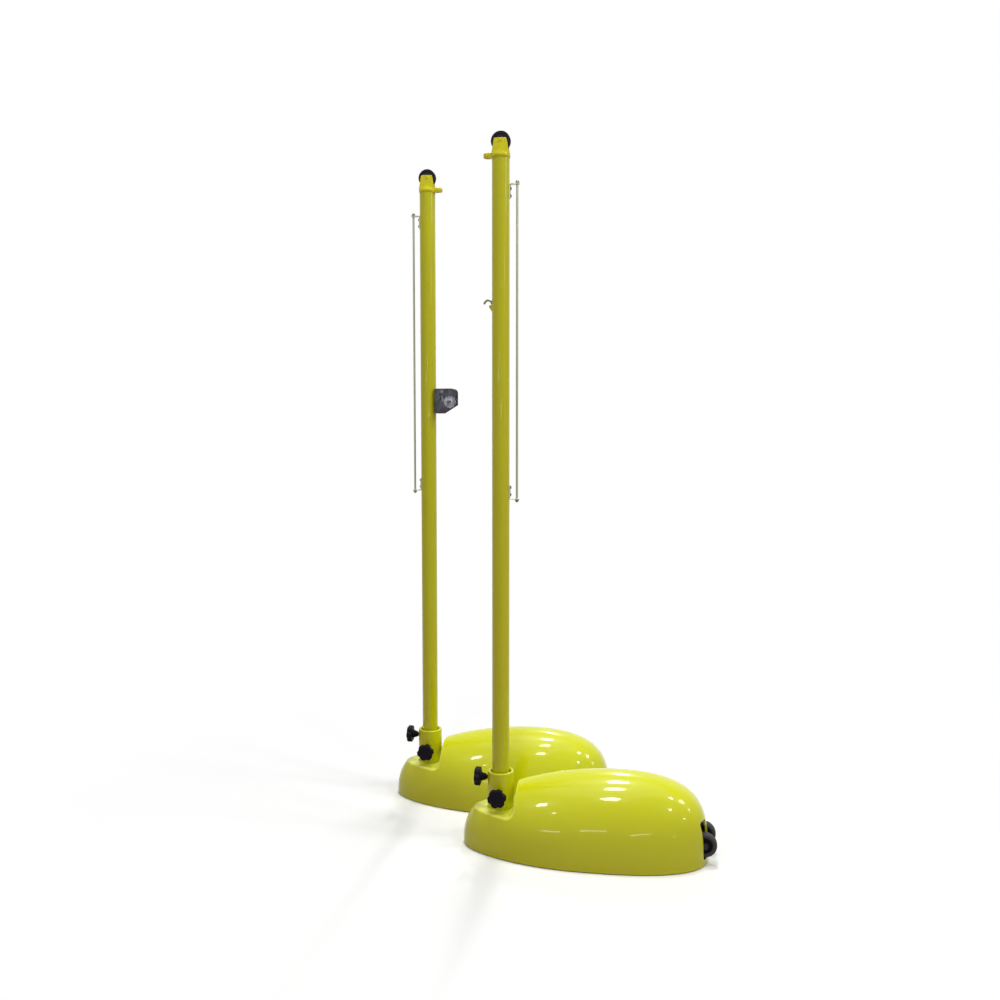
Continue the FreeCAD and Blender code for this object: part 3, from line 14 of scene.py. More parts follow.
import bpy
import numpy as np
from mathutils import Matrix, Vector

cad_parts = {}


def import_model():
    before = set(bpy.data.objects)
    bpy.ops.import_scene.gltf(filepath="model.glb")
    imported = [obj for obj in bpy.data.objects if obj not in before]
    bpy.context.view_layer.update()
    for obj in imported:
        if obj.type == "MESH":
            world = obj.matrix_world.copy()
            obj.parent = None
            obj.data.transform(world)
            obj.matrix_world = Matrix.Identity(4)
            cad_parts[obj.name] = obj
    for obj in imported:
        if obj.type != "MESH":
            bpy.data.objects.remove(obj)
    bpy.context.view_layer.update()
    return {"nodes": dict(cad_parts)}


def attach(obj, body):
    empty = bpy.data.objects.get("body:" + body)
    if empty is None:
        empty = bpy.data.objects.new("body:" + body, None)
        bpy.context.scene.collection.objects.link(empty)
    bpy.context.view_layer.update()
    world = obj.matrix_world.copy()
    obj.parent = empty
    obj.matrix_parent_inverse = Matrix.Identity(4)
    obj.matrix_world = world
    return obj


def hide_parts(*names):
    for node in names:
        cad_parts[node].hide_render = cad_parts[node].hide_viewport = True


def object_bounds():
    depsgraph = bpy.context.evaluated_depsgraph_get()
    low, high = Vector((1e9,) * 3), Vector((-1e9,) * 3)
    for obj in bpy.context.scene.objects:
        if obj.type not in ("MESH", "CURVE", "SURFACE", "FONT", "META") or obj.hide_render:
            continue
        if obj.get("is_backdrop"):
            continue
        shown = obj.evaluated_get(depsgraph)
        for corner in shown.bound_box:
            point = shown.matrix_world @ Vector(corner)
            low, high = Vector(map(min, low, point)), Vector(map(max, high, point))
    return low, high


LOG = logging.getLogger("net_posts")
MILLIMETRE = 0.001
Pair = tuple[float, float]
Triple = tuple[float, float, float]

# Turns that lay a piece's own Z axis along -Y, along -X and along +X, and plain turns of it.
SIDEWAYS = np.array([[1, 0, 0], [0, 0, -1], [0, 1, 0]], float)
FORWARDS = np.array([[0, 0, -1], [-1, 0, 0], [0, 1, 0]], float)
TAILWARDS = np.array([[0, 0, 1], [1, 0, 0], [0, 1, 0]], float)
HALF_TURN = np.diag([-1.0, -1.0, 1.0])
UPSIDE_DOWN = np.diag([1.0, -1.0, -1.0])
UPRIGHT = np.eye(3)


# Finishes

@dataclass(frozen=True)
class Graph:
    """Node tree whose nodes are added and joined in one call."""

    tree: bpy.types.NodeTree

    def fill(self, node: bpy.types.Node, inputs: dict) -> None:
        """Give a node's inputs their values or their incoming sockets.

        Args:
            node: Node to fill.
            inputs: Value or incoming socket of each input, by name or number.
        """
        for slot, value in inputs.items():
            if isinstance(value, bpy.types.NodeSocket):
                self.tree.links.new(value, node.inputs[slot])
            else:
                node.inputs[slot].default_value = value

    def add(self, kind: str, output: str, inputs: dict, **settings: str) -> bpy.types.NodeSocket:
        """Add a node, set its options and fill its inputs.

        Args:
            kind: Type of the node, without the "ShaderNode" before it.
            output: Name of the output that is wanted.
            inputs: Value or incoming socket of each input, by name or number.
            settings: Options of the node itself.

        Returns:
            The output.
        """
        node = self.tree.nodes.new("ShaderNode" + kind)
        for option, value in settings.items():
            setattr(node, option, value)
        self.fill(node, inputs)
        return node.outputs[output]


class Grain(Enum):
    """How a finish's relief lies: alike all ways, or in long marks up the piece."""

    EVEN = (1.0, 1.0, 1.0)
    BRUSHED = (1.0, 1.0, 0.04)


@dataclass(frozen=True)
class Finish:
    """One procedural finish, read from Object coordinates.

    The colour drifts between two tones with soft patches of noise, the roughness drifts with the
    patches or with the brush marks, and a fine noise gives the relief.
    """

    name: str
    colour: Triple
    second: Triple
    roughness: Pair
    grain: Grain = Grain.EVEN
    metallic: float = 0.0
    coat: float = 0.0
    coat_roughness: float = 0.04
    specular: float = 0.5
    patch_scale: float = 9.0
    patch_range: Pair = (0.0, 1.0)
    relief_scale: float = 400.0
    relief: float = 0.02
    relief_depth: float = 0.0002
    # Paler tone blended in by the "edge" attribute: painted highlight and painted light.
    painted_highlight_tone: Triple | None = None

    def with_painted_light(self, graph: Graph, colour: bpy.types.NodeSocket) -> bpy.types.NodeSocket:
        """Colour blended towards a paler tone where the piece's "edge" attribute asks for it:
        painted light, that is a painted highlight on an edge and painted light on a shaded face.

        Args:
            graph: Node tree of the material.
            colour: Socket with the plain colour.

        Returns:
            Socket with the blended colour.
        """
        if self.painted_highlight_tone is None:
            return colour
        weight = graph.add("Attribute", "Fac", {}, attribute_name="edge")
        return graph.add("Mix", "Result", {"Factor": weight, "A": colour,
                                           "B": (*self.painted_highlight_tone, 1.0)}, data_type="RGBA")

    def material(self) -> bpy.types.Material:
        """Build the finish's node tree, once for each name.

        Returns:
            The material.
        """
        found = bpy.data.materials.get(self.name)
        if found:
            return found
        material = bpy.data.materials.new(self.name)
        material.use_nodes = True
        graph = Graph(material.node_tree)
        place = graph.add("TexCoord", "Object", {})
        patches = graph.add("TexNoise", "Fac", {"Vector": place, "Scale": self.patch_scale,
                                                "Detail": 4.0, "Roughness": 0.6})
        share = graph.add("MapRange", "Result", {
            "Value": patches, "From Min": self.patch_range[0], "From Max": self.patch_range[1]})
        colour = graph.add("Mix", "Result", {"Factor": share, "A": (*self.colour, 1.0),
                                             "B": (*self.second, 1.0)}, data_type="RGBA")
        drawn = graph.add("Mapping", "Vector", {"Vector": place, "Scale": self.grain.value})
        fine = graph.add("TexNoise", "Fac", {"Vector": drawn, "Scale": self.relief_scale,
                                             "Detail": 3.0})
        rub = fine if self.grain is Grain.BRUSHED else patches
        roughness = graph.add("MapRange", "Result", {
            "Value": rub, "To Min": self.roughness[0], "To Max": self.roughness[1]})
        normal = graph.add("Bump", "Normal", {"Height": fine, "Strength": self.relief,
                                              "Distance": self.relief_depth})
        graph.fill(graph.tree.nodes["Principled BSDF"], {
            "Base Color": self.with_painted_light(graph, colour), "Metallic": self.metallic,
            "Coat Weight": self.coat, "Coat Roughness": self.coat_roughness,
            "Specular IOR Level": self.specular, "Roughness": roughness, "Normal": normal})
        return material


# The shell's paler tone is painted light: a painted highlight along the step's outer edge, and
# painted light on the step.
SHELL_YELLOW = Finish("lemon_shell", (0.70, 0.735, 0.004), (0.67, 0.69, 0.004), (0.22, 0.30),
                      coat=0.45, specular=0.13, patch_scale=6.0, relief_scale=60.0,
                      relief=0.05, relief_depth=0.0004, painted_highlight_tone=(0.95, 0.97, 0.14))
POLE_YELLOW = Finish("lemon_powder_coat", (0.69, 0.705, 0.006), (0.65, 0.65, 0.005),
                     (0.20, 0.30), coat=0.3, specular=0.15, patch_scale=14.0,
                     relief_scale=700.0, relief=0.03)
BRACKET_YELLOW = Finish("bright_lemon_coat", (0.90, 0.86, 0.008), (0.84, 0.79, 0.006),
                        (0.20, 0.30), coat=0.3, specular=0.15, patch_scale=14.0,
                        relief_scale=700.0, relief=0.03)
CHASSIS_BLACK = Finish("chassis_black", (0.02, 0.02, 0.022), (0.035, 0.034, 0.033),
                       (0.35, 0.55), relief_scale=900.0, relief=0.15)
CAST_IRON = Finish("cast_weight_iron", (0.06, 0.058, 0.056), (0.035, 0.033, 0.032),
                   (0.6, 0.85), metallic=0.4, relief_scale=350.0, relief=0.6,
                   relief_depth=0.0008)
ZINC = Finish("bright_zinc", (0.46, 0.47, 0.45), (0.34, 0.35, 0.33), (0.25, 0.45),
              Grain.BRUSHED, metallic=1.0, relief_scale=800.0, relief=0.15)
DARK_STEEL = Finish("dark_axle_steel", (0.035, 0.033, 0.04), (0.02, 0.019, 0.024), (0.35, 0.5),
                    Grain.BRUSHED, metallic=0.6, specular=0.2, relief_scale=800.0, relief=0.1)
STRIP_ZINC = Finish("strip_zinc", (0.66, 0.67, 0.58), (0.52, 0.53, 0.44), (0.3, 0.5),
                    Grain.BRUSHED, metallic=0.6, relief_scale=800.0, relief=0.1)
ROD_ZINC = Finish("rod_zinc", (0.45, 0.44, 0.33), (0.35, 0.34, 0.26), (0.3, 0.5),
                  Grain.BRUSHED, metallic=0.7, relief_scale=800.0, relief=0.1)
OLIVE_ZINC = Finish("olive_zinc", (0.20, 0.21, 0.12), (0.14, 0.145, 0.085), (0.3, 0.5),
                    Grain.BRUSHED, metallic=0.7, relief_scale=800.0, relief=0.1)
RIVET_STEEL = Finish("dark_rivet_steel", (0.12, 0.115, 0.07), (0.08, 0.075, 0.05), (0.35, 0.5),
                     Grain.BRUSHED, metallic=0.7, relief_scale=800.0, relief=0.1)
WINCH_GREY = Finish("winch_dark_zinc", (0.082, 0.085, 0.108), (0.034, 0.034, 0.038),
                    (0.3, 0.5), metallic=0.55, patch_scale=75.0, patch_range=(0.38, 0.62),
                    relief_scale=500.0, relief=0.25)
WINCH_STEEL = Finish("winch_worn_steel", (0.36, 0.37, 0.41), (0.10, 0.10, 0.115),
                     (0.25, 0.5), Grain.BRUSHED, metallic=0.85, patch_scale=100.0,
                     patch_range=(0.36, 0.66), relief_scale=600.0, relief=0.25)
WINCH_DARK = Finish("winch_dark_steel", (0.17, 0.175, 0.19), (0.035, 0.035, 0.042),
                    (0.25, 0.5), Grain.BRUSHED, metallic=0.85, patch_scale=140.0,
                    patch_range=(0.40, 0.60), relief_scale=600.0, relief=0.25)
KNOB_BLACK = Finish("knob_black", (0.005, 0.004, 0.009), (0.010, 0.008, 0.014), (0.4, 0.55),
                    specular=0.08, patch_scale=50.0, relief_scale=1500.0, relief=0.2)
SHEAVE_BLACK = Finish("sheave_black", (0.008, 0.006, 0.014), (0.014, 0.010, 0.020),
                      (0.3, 0.45), specular=0.2, patch_scale=50.0, relief_scale=1200.0,
                      relief=0.2)
WHEEL_RUBBER = Finish("wheel_rubber", (0.009, 0.006, 0.013), (0.015, 0.011, 0.020),
                      (0.4, 0.6), specular=0.2, patch_scale=40.0, relief_scale=1400.0,
                      relief=0.4)
FOOT_RUBBER = Finish("foot_rubber", (0.012, 0.012, 0.012), (0.02, 0.02, 0.02), (0.6, 0.8),
                     relief_scale=1200.0, relief=0.4)
NYLON = Finish("natural_nylon", (0.62, 0.61, 0.55), (0.55, 0.54, 0.48), (0.35, 0.5),
               relief_scale=900.0, relief=0.1)


# Surfaces

@dataclass
class Skin:
    """Closed surface: points in millimetres, and faces as arrays of point numbers."""

    points: np.ndarray
    faces: list[np.ndarray]

    def placed(self, turn: np.ndarray, x: float = 0.0, y: float = 0.0, z: float = 0.0) -> Skin:
        """Turn the surface about its origin by a rotation matrix, then move it by x, y and z."""
        return Skin(self.points @ turn.T + np.array([x, y, z], float), self.faces)

    def raised(self, z: float) -> Skin:
        """The surface moved up by z."""
        return self.placed(UPRIGHT, z=z)

    def mesh(self, name: str) -> bpy.types.Mesh:
        """The surface as a mesh in metres.

        Args:
            name: Name of the mesh.

        Returns:
            The mesh.
        """
        mesh = bpy.data.meshes.new(name)
        faces = [face for block in self.faces for face in block.tolist()]
        mesh.from_pydata((self.points * MILLIMETRE).tolist(), [], faces)
        return mesh


def merged(*skins: Skin) -> Skin:
    """Join several surfaces, with their point numbers shifted.

    Args:
        skins: Surfaces to join.

    Returns:
        One surface.
    """
    starts = np.cumsum([0] + [len(skin.points) for skin in skins[:-1]])
    faces = [block + start for skin, start in zip(skins, starts) for block in skin.faces]
    return Skin(np.vstack([skin.points for skin in skins]), faces)


def round_angles(count: int) -> np.ndarray:
    """Angles once round, from +X counter-clockwise."""
    return np.linspace(0, 2 * np.pi, count, endpoint=False)


def polar(radius: np.ndarray, angle: np.ndarray, height: np.ndarray) -> np.ndarray:
    """Points by radius, angle and height, which are broadcast against each other."""
    return np.stack(np.broadcast_arrays(radius * np.cos(angle), radius * np.sin(angle), height),
                    axis=-1)


def grid_quads(rows: int, columns: int, close_rows: bool = False) -> np.ndarray:
    """Quads between neighbouring rows of a grid whose columns run round and close.

    Args:
        rows: Rows of points.
        columns: Points in a row.
        close_rows: Whether the last row joins the first.

    Returns:
        Point numbers, four to a face, facing outwards for rows that go up and columns that turn
        counter-clockwise.
    """
    row = np.arange(rows if close_rows else rows - 1)[:, None]
    column = np.arange(columns)[None, :]
    above, beside = (row + 1) % rows, (column + 1) % columns
    corners = [row * columns + column, row * columns + beside,
               above * columns + beside, above * columns + column]
    return np.stack(np.broadcast_arrays(*corners), axis=-1).reshape(-1, 4)


def capped(points: np.ndarray) -> Skin:
    """Surface over rows of points, with one face across the first row and one across the last.

    Args:
        points: Rows of points, upwards, each counter-clockwise.

    Returns:
        The closed surface.
    """
    rows, columns = points.shape[:2]
    ring = np.arange(columns)
    return Skin(points.reshape(-1, 3), [grid_quads(rows, columns), ring[::-1][None],
                                        (ring + (rows - 1) * columns)[None]])


def softened(corners: list[Pair], radii: float | list[float], closed: bool = True,
             steps: int = 6) -> np.ndarray:
    """Polyline with each corner replaced by an arc tangent to both its sides.

    The arc's centre lies on the corner's bisector, radius / sin(half angle) from the corner, and
    the arc turns evenly from one tangent point to the other.

    Args:
        corners: Corner points.
        radii: One radius, or one for each corner; zero keeps the corner.
        closed: Whether the last corner joins the first.
        steps: Points on an arc.

    Returns:
        Points of the softened line.
    """
    spots = np.array(corners, float)
    sizes = np.broadcast_to(np.array(radii, float), (len(spots),))
    line: list[np.ndarray] = []
    for index, (spot, size) in enumerate(zip(spots, sizes)):
        if size <= 0 or (not closed and index in (0, len(spots) - 1)):
            line.append(spot[None, :])
            continue
        back = spots[index - 1] - spot
        ahead = spots[(index + 1) % len(spots)] - spot
        back, ahead = back / np.linalg.norm(back), ahead / np.linalg.norm(ahead)
        half = math.acos(float(np.clip(back @ ahead, -1, 1))) / 2
        bisector = (back + ahead) / np.linalg.norm(back + ahead)
        centre = spot + bisector * size / math.sin(half)
        reach = size / math.tan(half)
        first, last = spot + back * reach - centre, spot + ahead * reach - centre
        turn = math.pi - 2 * half
        share = np.linspace(0, 1, steps)[:, None]
        line.append(centre + (np.sin((1 - share) * turn) * first
                              + np.sin(share * turn) * last) / math.sin(turn))
    return np.vstack(line)


def revolved(profile: np.ndarray, sides: int, closed: bool = False) -> Skin:
    """Profile of radius and height turned about the Z axis.

    Args:
        profile: Radius and height of each point, upwards along the outside. An open profile
            starts and ends on the axis; a closed one goes round a ring's section.
        sides: Points round the axis.
        closed: Whether the profile is a ring's section.

    Returns:
        The closed surface.
    """
    rows = profile if closed else profile[1:-1]
    points = polar(rows[:, :1], round_angles(sides), rows[:, 1:]).reshape(-1, 3)
    faces = [grid_quads(len(rows), sides, closed)]
    if not closed:
        ends = np.array([[0, 0, profile[0, 1]], [0, 0, profile[-1, 1]]])
        ring = np.arange(sides)
        beside = (ring + 1) % sides
        low, high = np.full(sides, len(points)), np.full(sides, len(points) + 1)
        top = (len(rows) - 1) * sides
        faces += [np.stack([low, beside, ring], axis=-1),
                  np.stack([high, ring + top, beside + top], axis=-1)]
        points = np.vstack([points, ends])
    return Skin(points, faces)


def turned(corners: list[Pair], radii: float | list[float], sides: int = 32,
           closed: bool = False, steps: int = 6) -> Skin:
    """Section of radius and height with softened corners, turned about the Z axis.

    Args:
        corners: Radius and height of each corner, upwards along the outside.
        radii: One radius, or one for each corner; zero keeps the corner.
        sides: Points round the axis.
        closed: Whether the section is a ring's.
        steps: Points on an arc.

    Returns:
        The closed surface.
    """
    return revolved(softened(corners, radii, closed, steps), sides, closed)


def disc(radius: float, low: float, high: float, edge: float, sides: int = 32) -> Skin:
    """Solid disc with rounded edges."""
    return turned([(0, low), (radius, low), (radius, high), (0, high)], edge, sides)


def sleeve(bore: float, radius: float, low: float, high: float, edge: float,
           sides: int = 96) -> Skin:
    """Tube with rounded ends."""
    return turned([(bore, low), (radius, low), (radius, high), (bore, high)], edge, sides, True)


def circle(radius: float, count: int, x: float = 0.0) -> np.ndarray:
    """Points of a circle about x on the X axis, counter-clockwise from +X."""
    angle = round_angles(count)
    return np.stack([x + radius * np.cos(angle), radius * np.sin(angle)], axis=1)


def rounded_rows(low: float, high: float, edge: float, steps: int) -> tuple[np.ndarray, ...]:
    """Rows of a plate with rounded edges.

    A row lies edge * (1 - cos a) from its face and is drawn in by edge * (1 - sin a), for a from 0
    to 90 degrees, first at the lower face and then mirrored at the upper.

    Args:
        low, high: Heights of the two faces.
        edge: Radius of the edges.
        steps: Rows on each edge.

    Returns:
        How far each row is drawn in, and its height.
    """
    angle = np.linspace(0, np.pi / 2, steps)
    inset, rise = edge * (1 - np.sin(angle)), edge * (1 - np.cos(angle))
    return (np.concatenate([inset, inset[::-1]]),
            np.concatenate([low + rise, high - rise[::-1]]))


def outward(outline: np.ndarray) -> np.ndarray:
    """Mitred outward directions at the corners of an outline.

    Args:
        outline: Points of the outline, counter-clockwise.

    Returns:
        One direction for each point, as long as draws both its sides in by one, and held back
        where the outline turns sharply.
    """
    side = np.roll(outline, -1, axis=0) - outline
    side /= np.maximum(np.linalg.norm(side, axis=1, keepdims=True), 1e-9)
    normal = np.stack([side[:, 1], -side[:, 0]], axis=1)
    both = normal + np.roll(normal, 1, axis=0)
    return 2 * both / np.maximum((both * both).sum(axis=1, keepdims=True), 0.5)


def slab(outline: np.ndarray, low: float, high: float, edge: float,
         flared: bool = False) -> Skin:
    """Plate with rounded edges.

    Args:
        outline: Outline in X and Y, counter-clockwise.
        low, high: Heights of the two faces.
        edge: Radius of the edges.
        flared: Whether the edges spread out to the faces, and don't draw in.

    Returns:
        The closed surface.
    """
    insets, heights = rounded_rows(low, high, edge, 4)
    if flared:
        insets = -insets
    flat = outline[None] - outward(outline)[None] * insets[:, None, None]
    tall = np.broadcast_to(heights[:, None, None], (len(heights), len(outline), 1))
    return capped(np.concatenate([flat, tall], axis=-1))


def ringed(outer: np.ndarray, inner: np.ndarray, low: float, high: float, edge: float) -> Skin:
    """Plate with a hole: the section between paired points of two outlines, rounded at its edges.

    Args:
        outer, inner: Paired points of both outlines, counter-clockwise.
        low, high: Heights of the two faces.
        edge: Radius of the edges.

    Returns:
        The closed surface.
    """
    across = outer - inner
    across /= np.linalg.norm(across, axis=1, keepdims=True)
    insets, heights = rounded_rows(low, high, edge, 4)
    drawn = across * insets[:, None, None]
    flat = np.concatenate([outer[None] - drawn, (inner[None] + drawn)[::-1]])
    tall = np.concatenate([heights, heights[::-1]])
    tall = np.broadcast_to(tall[:, None, None], (len(tall), len(outer), 1))
    points = np.concatenate([flat, tall], axis=-1).reshape(-1, 3)
    return Skin(points, [grid_quads(len(flat), len(outer), True)])


def directed(path: np.ndarray) -> tuple[np.ndarray, np.ndarray]:
    """Directions along a flat path and square to it.

    Args:
        path: Two coordinates of each point.

    Returns:
        Unit directions along the path, and the same turned left by a quarter.
    """
    along = np.gradient(path, axis=0)
    along /= np.linalg.norm(along, axis=1, keepdims=True)
    return along, np.stack([-along[:, 1], along[:, 0]], axis=1)


def swept(path: np.ndarray, radius: np.ndarray, sides: int = 20) -> Skin:
    """Round wire along a flat path in X and Z, closed at both ends.

    Each ring stands square to the path: it runs from the path's right over Y to its left.

    Args:
        path: X and Z of each ring.
        radius: Radius of each ring.
        sides: Points round the wire.

    Returns:
        The closed surface.
    """
    left = directed(path)[1]
    angle = round_angles(sides)
    lift = radius[:, None, None] * np.cos(angle)[None, :, None] * left[:, None, :]
    flat = path[:, None, :] - lift
    return capped(np.stack([flat[..., 0], radius[:, None] * np.sin(angle)[None, :],
                            flat[..., 1]], axis=-1))


# Objects

def smoothed(mesh: bpy.types.Mesh, sharp: float) -> None:
    """Shade a mesh smooth, with the edges past the angle in degrees kept sharp."""
    mesh.polygons.foreach_set("use_smooth", np.ones(len(mesh.polygons), bool))
    mesh.set_sharp_from_angle(angle=math.radians(sharp))


def make_object(name: str, skin: Skin, finish: Finish) -> bpy.types.Object:
    """Put a surface into the scene as a smooth-shaded object at the origin.

    Args:
        name: Name of the object.
        skin: Surface in millimetres, in the row frame.
        finish: Its finish.

    Returns:
        The object.
    """
    mesh = skin.mesh(name)
    mesh.validate()
    smoothed(mesh, 40.0)
    mesh.materials.append(finish.material())
    item = bpy.data.objects.new(name, mesh)
    bpy.context.scene.collection.objects.link(item)
    return item


def carved(item: bpy.types.Object, cutters: Skin, sharp: float) -> bpy.types.Mesh:
    """Take the cutters' volumes out of an object and keep the result as its mesh.

    Args:
        item: Object to cut.
        cutters: Closed surfaces of the holes, in millimetres.
        sharp: Angle in degrees past which an edge stays sharp.

    Returns:
        The object's new mesh.
    """
    tool = make_object(item.name + "_cutter", cutters, POLE_YELLOW)
    modifier = item.modifiers.new("holes", "BOOLEAN")
    modifier.operation = "DIFFERENCE"
    modifier.solver = "EXACT"
    modifier.object = tool
    bpy.context.view_layer.update()
    graph = bpy.context.evaluated_depsgraph_get()
    mesh = bpy.data.meshes.new_from_object(item.evaluated_get(graph))
    item.modifiers.clear()
    item.data = mesh
    bpy.data.objects.remove(tool)
    smoothed(mesh, sharp)
    return mesh


@dataclass(frozen=True)
class Post:
    """Where one post stands, and which way its pole faces."""

    name: str
    x: float
    y: float
    turn: np.ndarray

    def node(self, part: str) -> str:
        """Name of one of the post's nodes."""
        return "%s_post_%s" % (self.name, part)

    def on_base(self, skin: Skin) -> Skin:
        """Surface worked out about the pole's foot, moved to the post."""
        return skin.placed(UPRIGHT, self.x, self.y)

    def on_pole(self, skin: Skin) -> Skin:
        """Surface of the pole's fittings, turned with the pole and moved to the post."""
        return skin.placed(self.turn, self.x, self.y)

    def add(self, part: str, skin: Skin, finish: Finish, body: str,
            replaces: tuple[str, ...] | None = None) -> bpy.types.Object:
        """Make one piece of the post, let it ride on its body and stand for its nodes.

        Args:
            part: Name of the piece, without the post's name.
            skin: Surface in the row frame.
            finish: Its finish.
            body: Body that it rides on.
            replaces: Nodes that it stands for; by default the node of the same name.

        Returns:
            The object.
        """
        item = make_object(self.node(part) + "_skin", skin, finish)
        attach(item, body)
        for stand_for in ((self.node(part),) if replaces is None else replaces):
            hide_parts(stand_for)
        LOG.info("%s on %s", item.name, body)
        return item


# Base

@dataclass(frozen=True)
class ShellForm:
    """Form of the moulded shell: a dome of superellipses with a filleted step cut into it."""

    head: float = 84.0
    tail: float = 452.0
    half_width: float = 114.0
    height: float = 182.0
    crest_shift: float = 73.0
    crest_rise: float = 2.52
    head_roundness: float = 1.82
    tail_roundness: float = 2.6
    length_taper: float = 2.97
    width_taper: float = 2.19
    wall: float = 3.0
    rim: float = 2.0
    step_floor: float = 87.0
    step_wall: float = 36.5
    step_lean: float = 2.0
    step_fillet: float = 16.0
    edge: float = 4.0
    eye_x: float = 100.0
    near_top: float = 0.99999
    # Painted light: the full share and reach of the painted highlight on the step's outer edge,
    # and the share painted on the step.
    highlight_full_share: float = 1.5
    highlight_reach: float = 3.2
    painted_light_on_step: float = 0.5

    def dome(self, points: np.ndarray) -> np.ndarray:
        """Superellipse radius less one: below zero inside the dome.

        At height z the section's middle is (tail - head) / 2 + crest_shift * t ** crest_rise and
        its half axes are the full ones times sqrt(1 - t ** taper), for t = z / height.

        Args:
            points: X, Y and Z of each point.

        Returns:
            The value at each point.
        """
        share = np.clip(points[..., 2] / self.height, 0.0, self.near_top)
        middle = (self.tail - self.head) / 2 + self.crest_shift * share ** self.crest_rise
        length = (self.tail + self.head) / 2 * np.sqrt(1 - share ** self.length_taper)
        width = self.half_width * np.sqrt(1 - share ** self.width_taper)
        along = points[..., 0] - middle
        power = np.where(along > 0, self.tail_roundness, self.head_roundness)
        spread = (np.abs(along) / length) ** power + (np.abs(points[..., 1]) / width) ** power
        return np.where(share < self.near_top, spread ** (1 / power) - 1, 1.0)

    def dome_distance(self, points: np.ndarray) -> np.ndarray:
        """Distance to the dome to first order: its value over the length of its slope.

        Args:
            points: X, Y and Z of each point.

        Returns:
            The distance of each point, below zero inside.
        """
        value, step = self.dome(points), 0.05
        slopes = [self.dome(points + step * axis) - value for axis in np.eye(3)]
        return value * step / np.sqrt(sum(slope * slope for slope in slopes) + 1e-18)

    def step_distance(self, points: np.ndarray) -> np.ndarray:
        """Distance to what the step leaves: floor slab joined to the leaning wall by a fillet.

        Args:
            points: X, Y and Z of each point.

        Returns:
            The distance of each point, below zero inside.
        """
        lean = math.radians(self.step_lean)
        floor = points[..., 2] - self.step_floor
        wall = floor * math.sin(lean) - (points[..., 0] - self.step_wall) * math.cos(lean)
        size = self.step_fillet
        return np.maximum(np.minimum(floor, wall), size) - np.hypot(
            np.maximum(size - floor, 0), np.maximum(size - wall, 0))

    def distance(self, points: np.ndarray, inset: float) -> np.ndarray:
        """Distance to the shell drawn in by the inset, with the step's outer edges rounded.

        Args:
            points: X, Y and Z of each point.
            inset: How far the surface is drawn in.

        Returns:
            The distance of each point, below zero inside.
        """
        dome = self.dome_distance(points) + inset
        step = self.step_distance(points) + inset
        return np.minimum(np.maximum(dome, step), -self.edge) + np.hypot(
            np.maximum(self.edge + dome, 0), np.maximum(self.edge + step, 0))

    def painted_light_share(self, points: np.ndarray) -> np.ndarray:
        """Share of the paler tone, which is painted light: all of it on the step's outer edge as a
        painted highlight, half of it on the step as painted light.

        The distance to the edge is the root of the squared distances to the dome and the step.

        Args:
            points: X, Y and Z of each point.

        Returns:
            The share of the edge tone at each point.
        """
        dome, step = self.dome_distance(points), self.step_distance(points)
        line = np.clip(self.highlight_full_share - np.hypot(dome, step) / self.highlight_reach, 0.0, 1.0)
        on_step = np.clip(1.0 - np.abs(step), 0.0, 1.0) * (dome < 0)
        return np.maximum(line, self.painted_light_on_step * on_step)

    def directions(self) -> tuple[np.ndarray, np.ndarray]:
        """Azimuths and elevations of the rays, closest together towards the step.

        Returns:
            Both, in radians.
        """
        azimuth = np.concatenate([np.linspace(-118, 118, 148, endpoint=False),
                                  np.linspace(118, 242, 252, endpoint=False)])
        elevation = np.concatenate([np.linspace(0, 22, 14, endpoint=False),
                                    np.linspace(22, 72, 100, endpoint=False),
                                    np.linspace(72, 89.4, 16)])
        return np.radians(azimuth), np.radians(elevation)

    def surface(self, inset: float, every: int) -> np.ndarray:
        """Points where rays from under the dome meet the surface, by bisection on the distance.

        Args:
            inset: How far the surface is drawn in.
            every: Keep one ray of so many, each way.

        Returns:
            Rows of points, from the rim upwards, with the crest as a row of its own left out.
        """
        farthest, halvings = 600.0, 34
        azimuth, elevation = self.directions()
        azimuth = azimuth[::every][None, :]
        elevation = elevation[::every][:, None]
        ray = polar(np.cos(elevation), azimuth, np.sin(elevation))
        start = np.array([self.eye_x, 0.0, self.rim])
        near, far = np.zeros(ray.shape[:2]), np.full(ray.shape[:2], farthest)
        for _ in range(halvings):
            half = (near + far) / 2
            inside = self.distance(start + ray * half[..., None], inset) < 0
            near, far = np.where(inside, half, near), np.where(inside, far, half)
        return start + ray * far[..., None]

    def skin(self, every: int = 4) -> Skin:
        """Outer surface, a coarser inner one, and the band between their rims.

        Args:
            every: How many points of the outer rim stand for one of the inner rim.

        Returns:
            The closed surface.
        """
        outer, inner = self.surface(0.0, 1), self.surface(self.wall, every)
        rows, columns = outer.shape[:2]
        inner_rows, inner_columns = inner.shape[:2]
        outer_count, inner_count = rows * columns, inner_rows * inner_columns
        crests = np.array([[surface[-1, :, 0].mean(), 0, surface[-1, :, 2].mean()]
                           for surface in (outer, inner)])
        points = np.vstack([outer.reshape(-1, 3), inner.reshape(-1, 3), crests])
        ring, small = np.arange(columns), np.arange(inner_columns)
        top, inner_top = outer_count - columns, outer_count + inner_count - inner_columns
        crest = np.full(columns, outer_count + inner_count)
        inner_crest = np.full(inner_columns, outer_count + inner_count + 1)
        band = [outer_count + small, outer_count + (small + 1) % inner_columns]
        band += [(every * (small + 1) - step) % columns for step in range(every + 1)]
        return Skin(points, [
            grid_quads(rows, columns),
            np.stack([crest, ring + top, (ring + 1) % columns + top], axis=-1),
            grid_quads(inner_rows, inner_columns)[:, ::-1] + outer_count,
            np.stack([inner_crest, (small + 1) % inner_columns + inner_top, small + inner_top],
                     axis=-1),
            np.stack(band, axis=-1)])


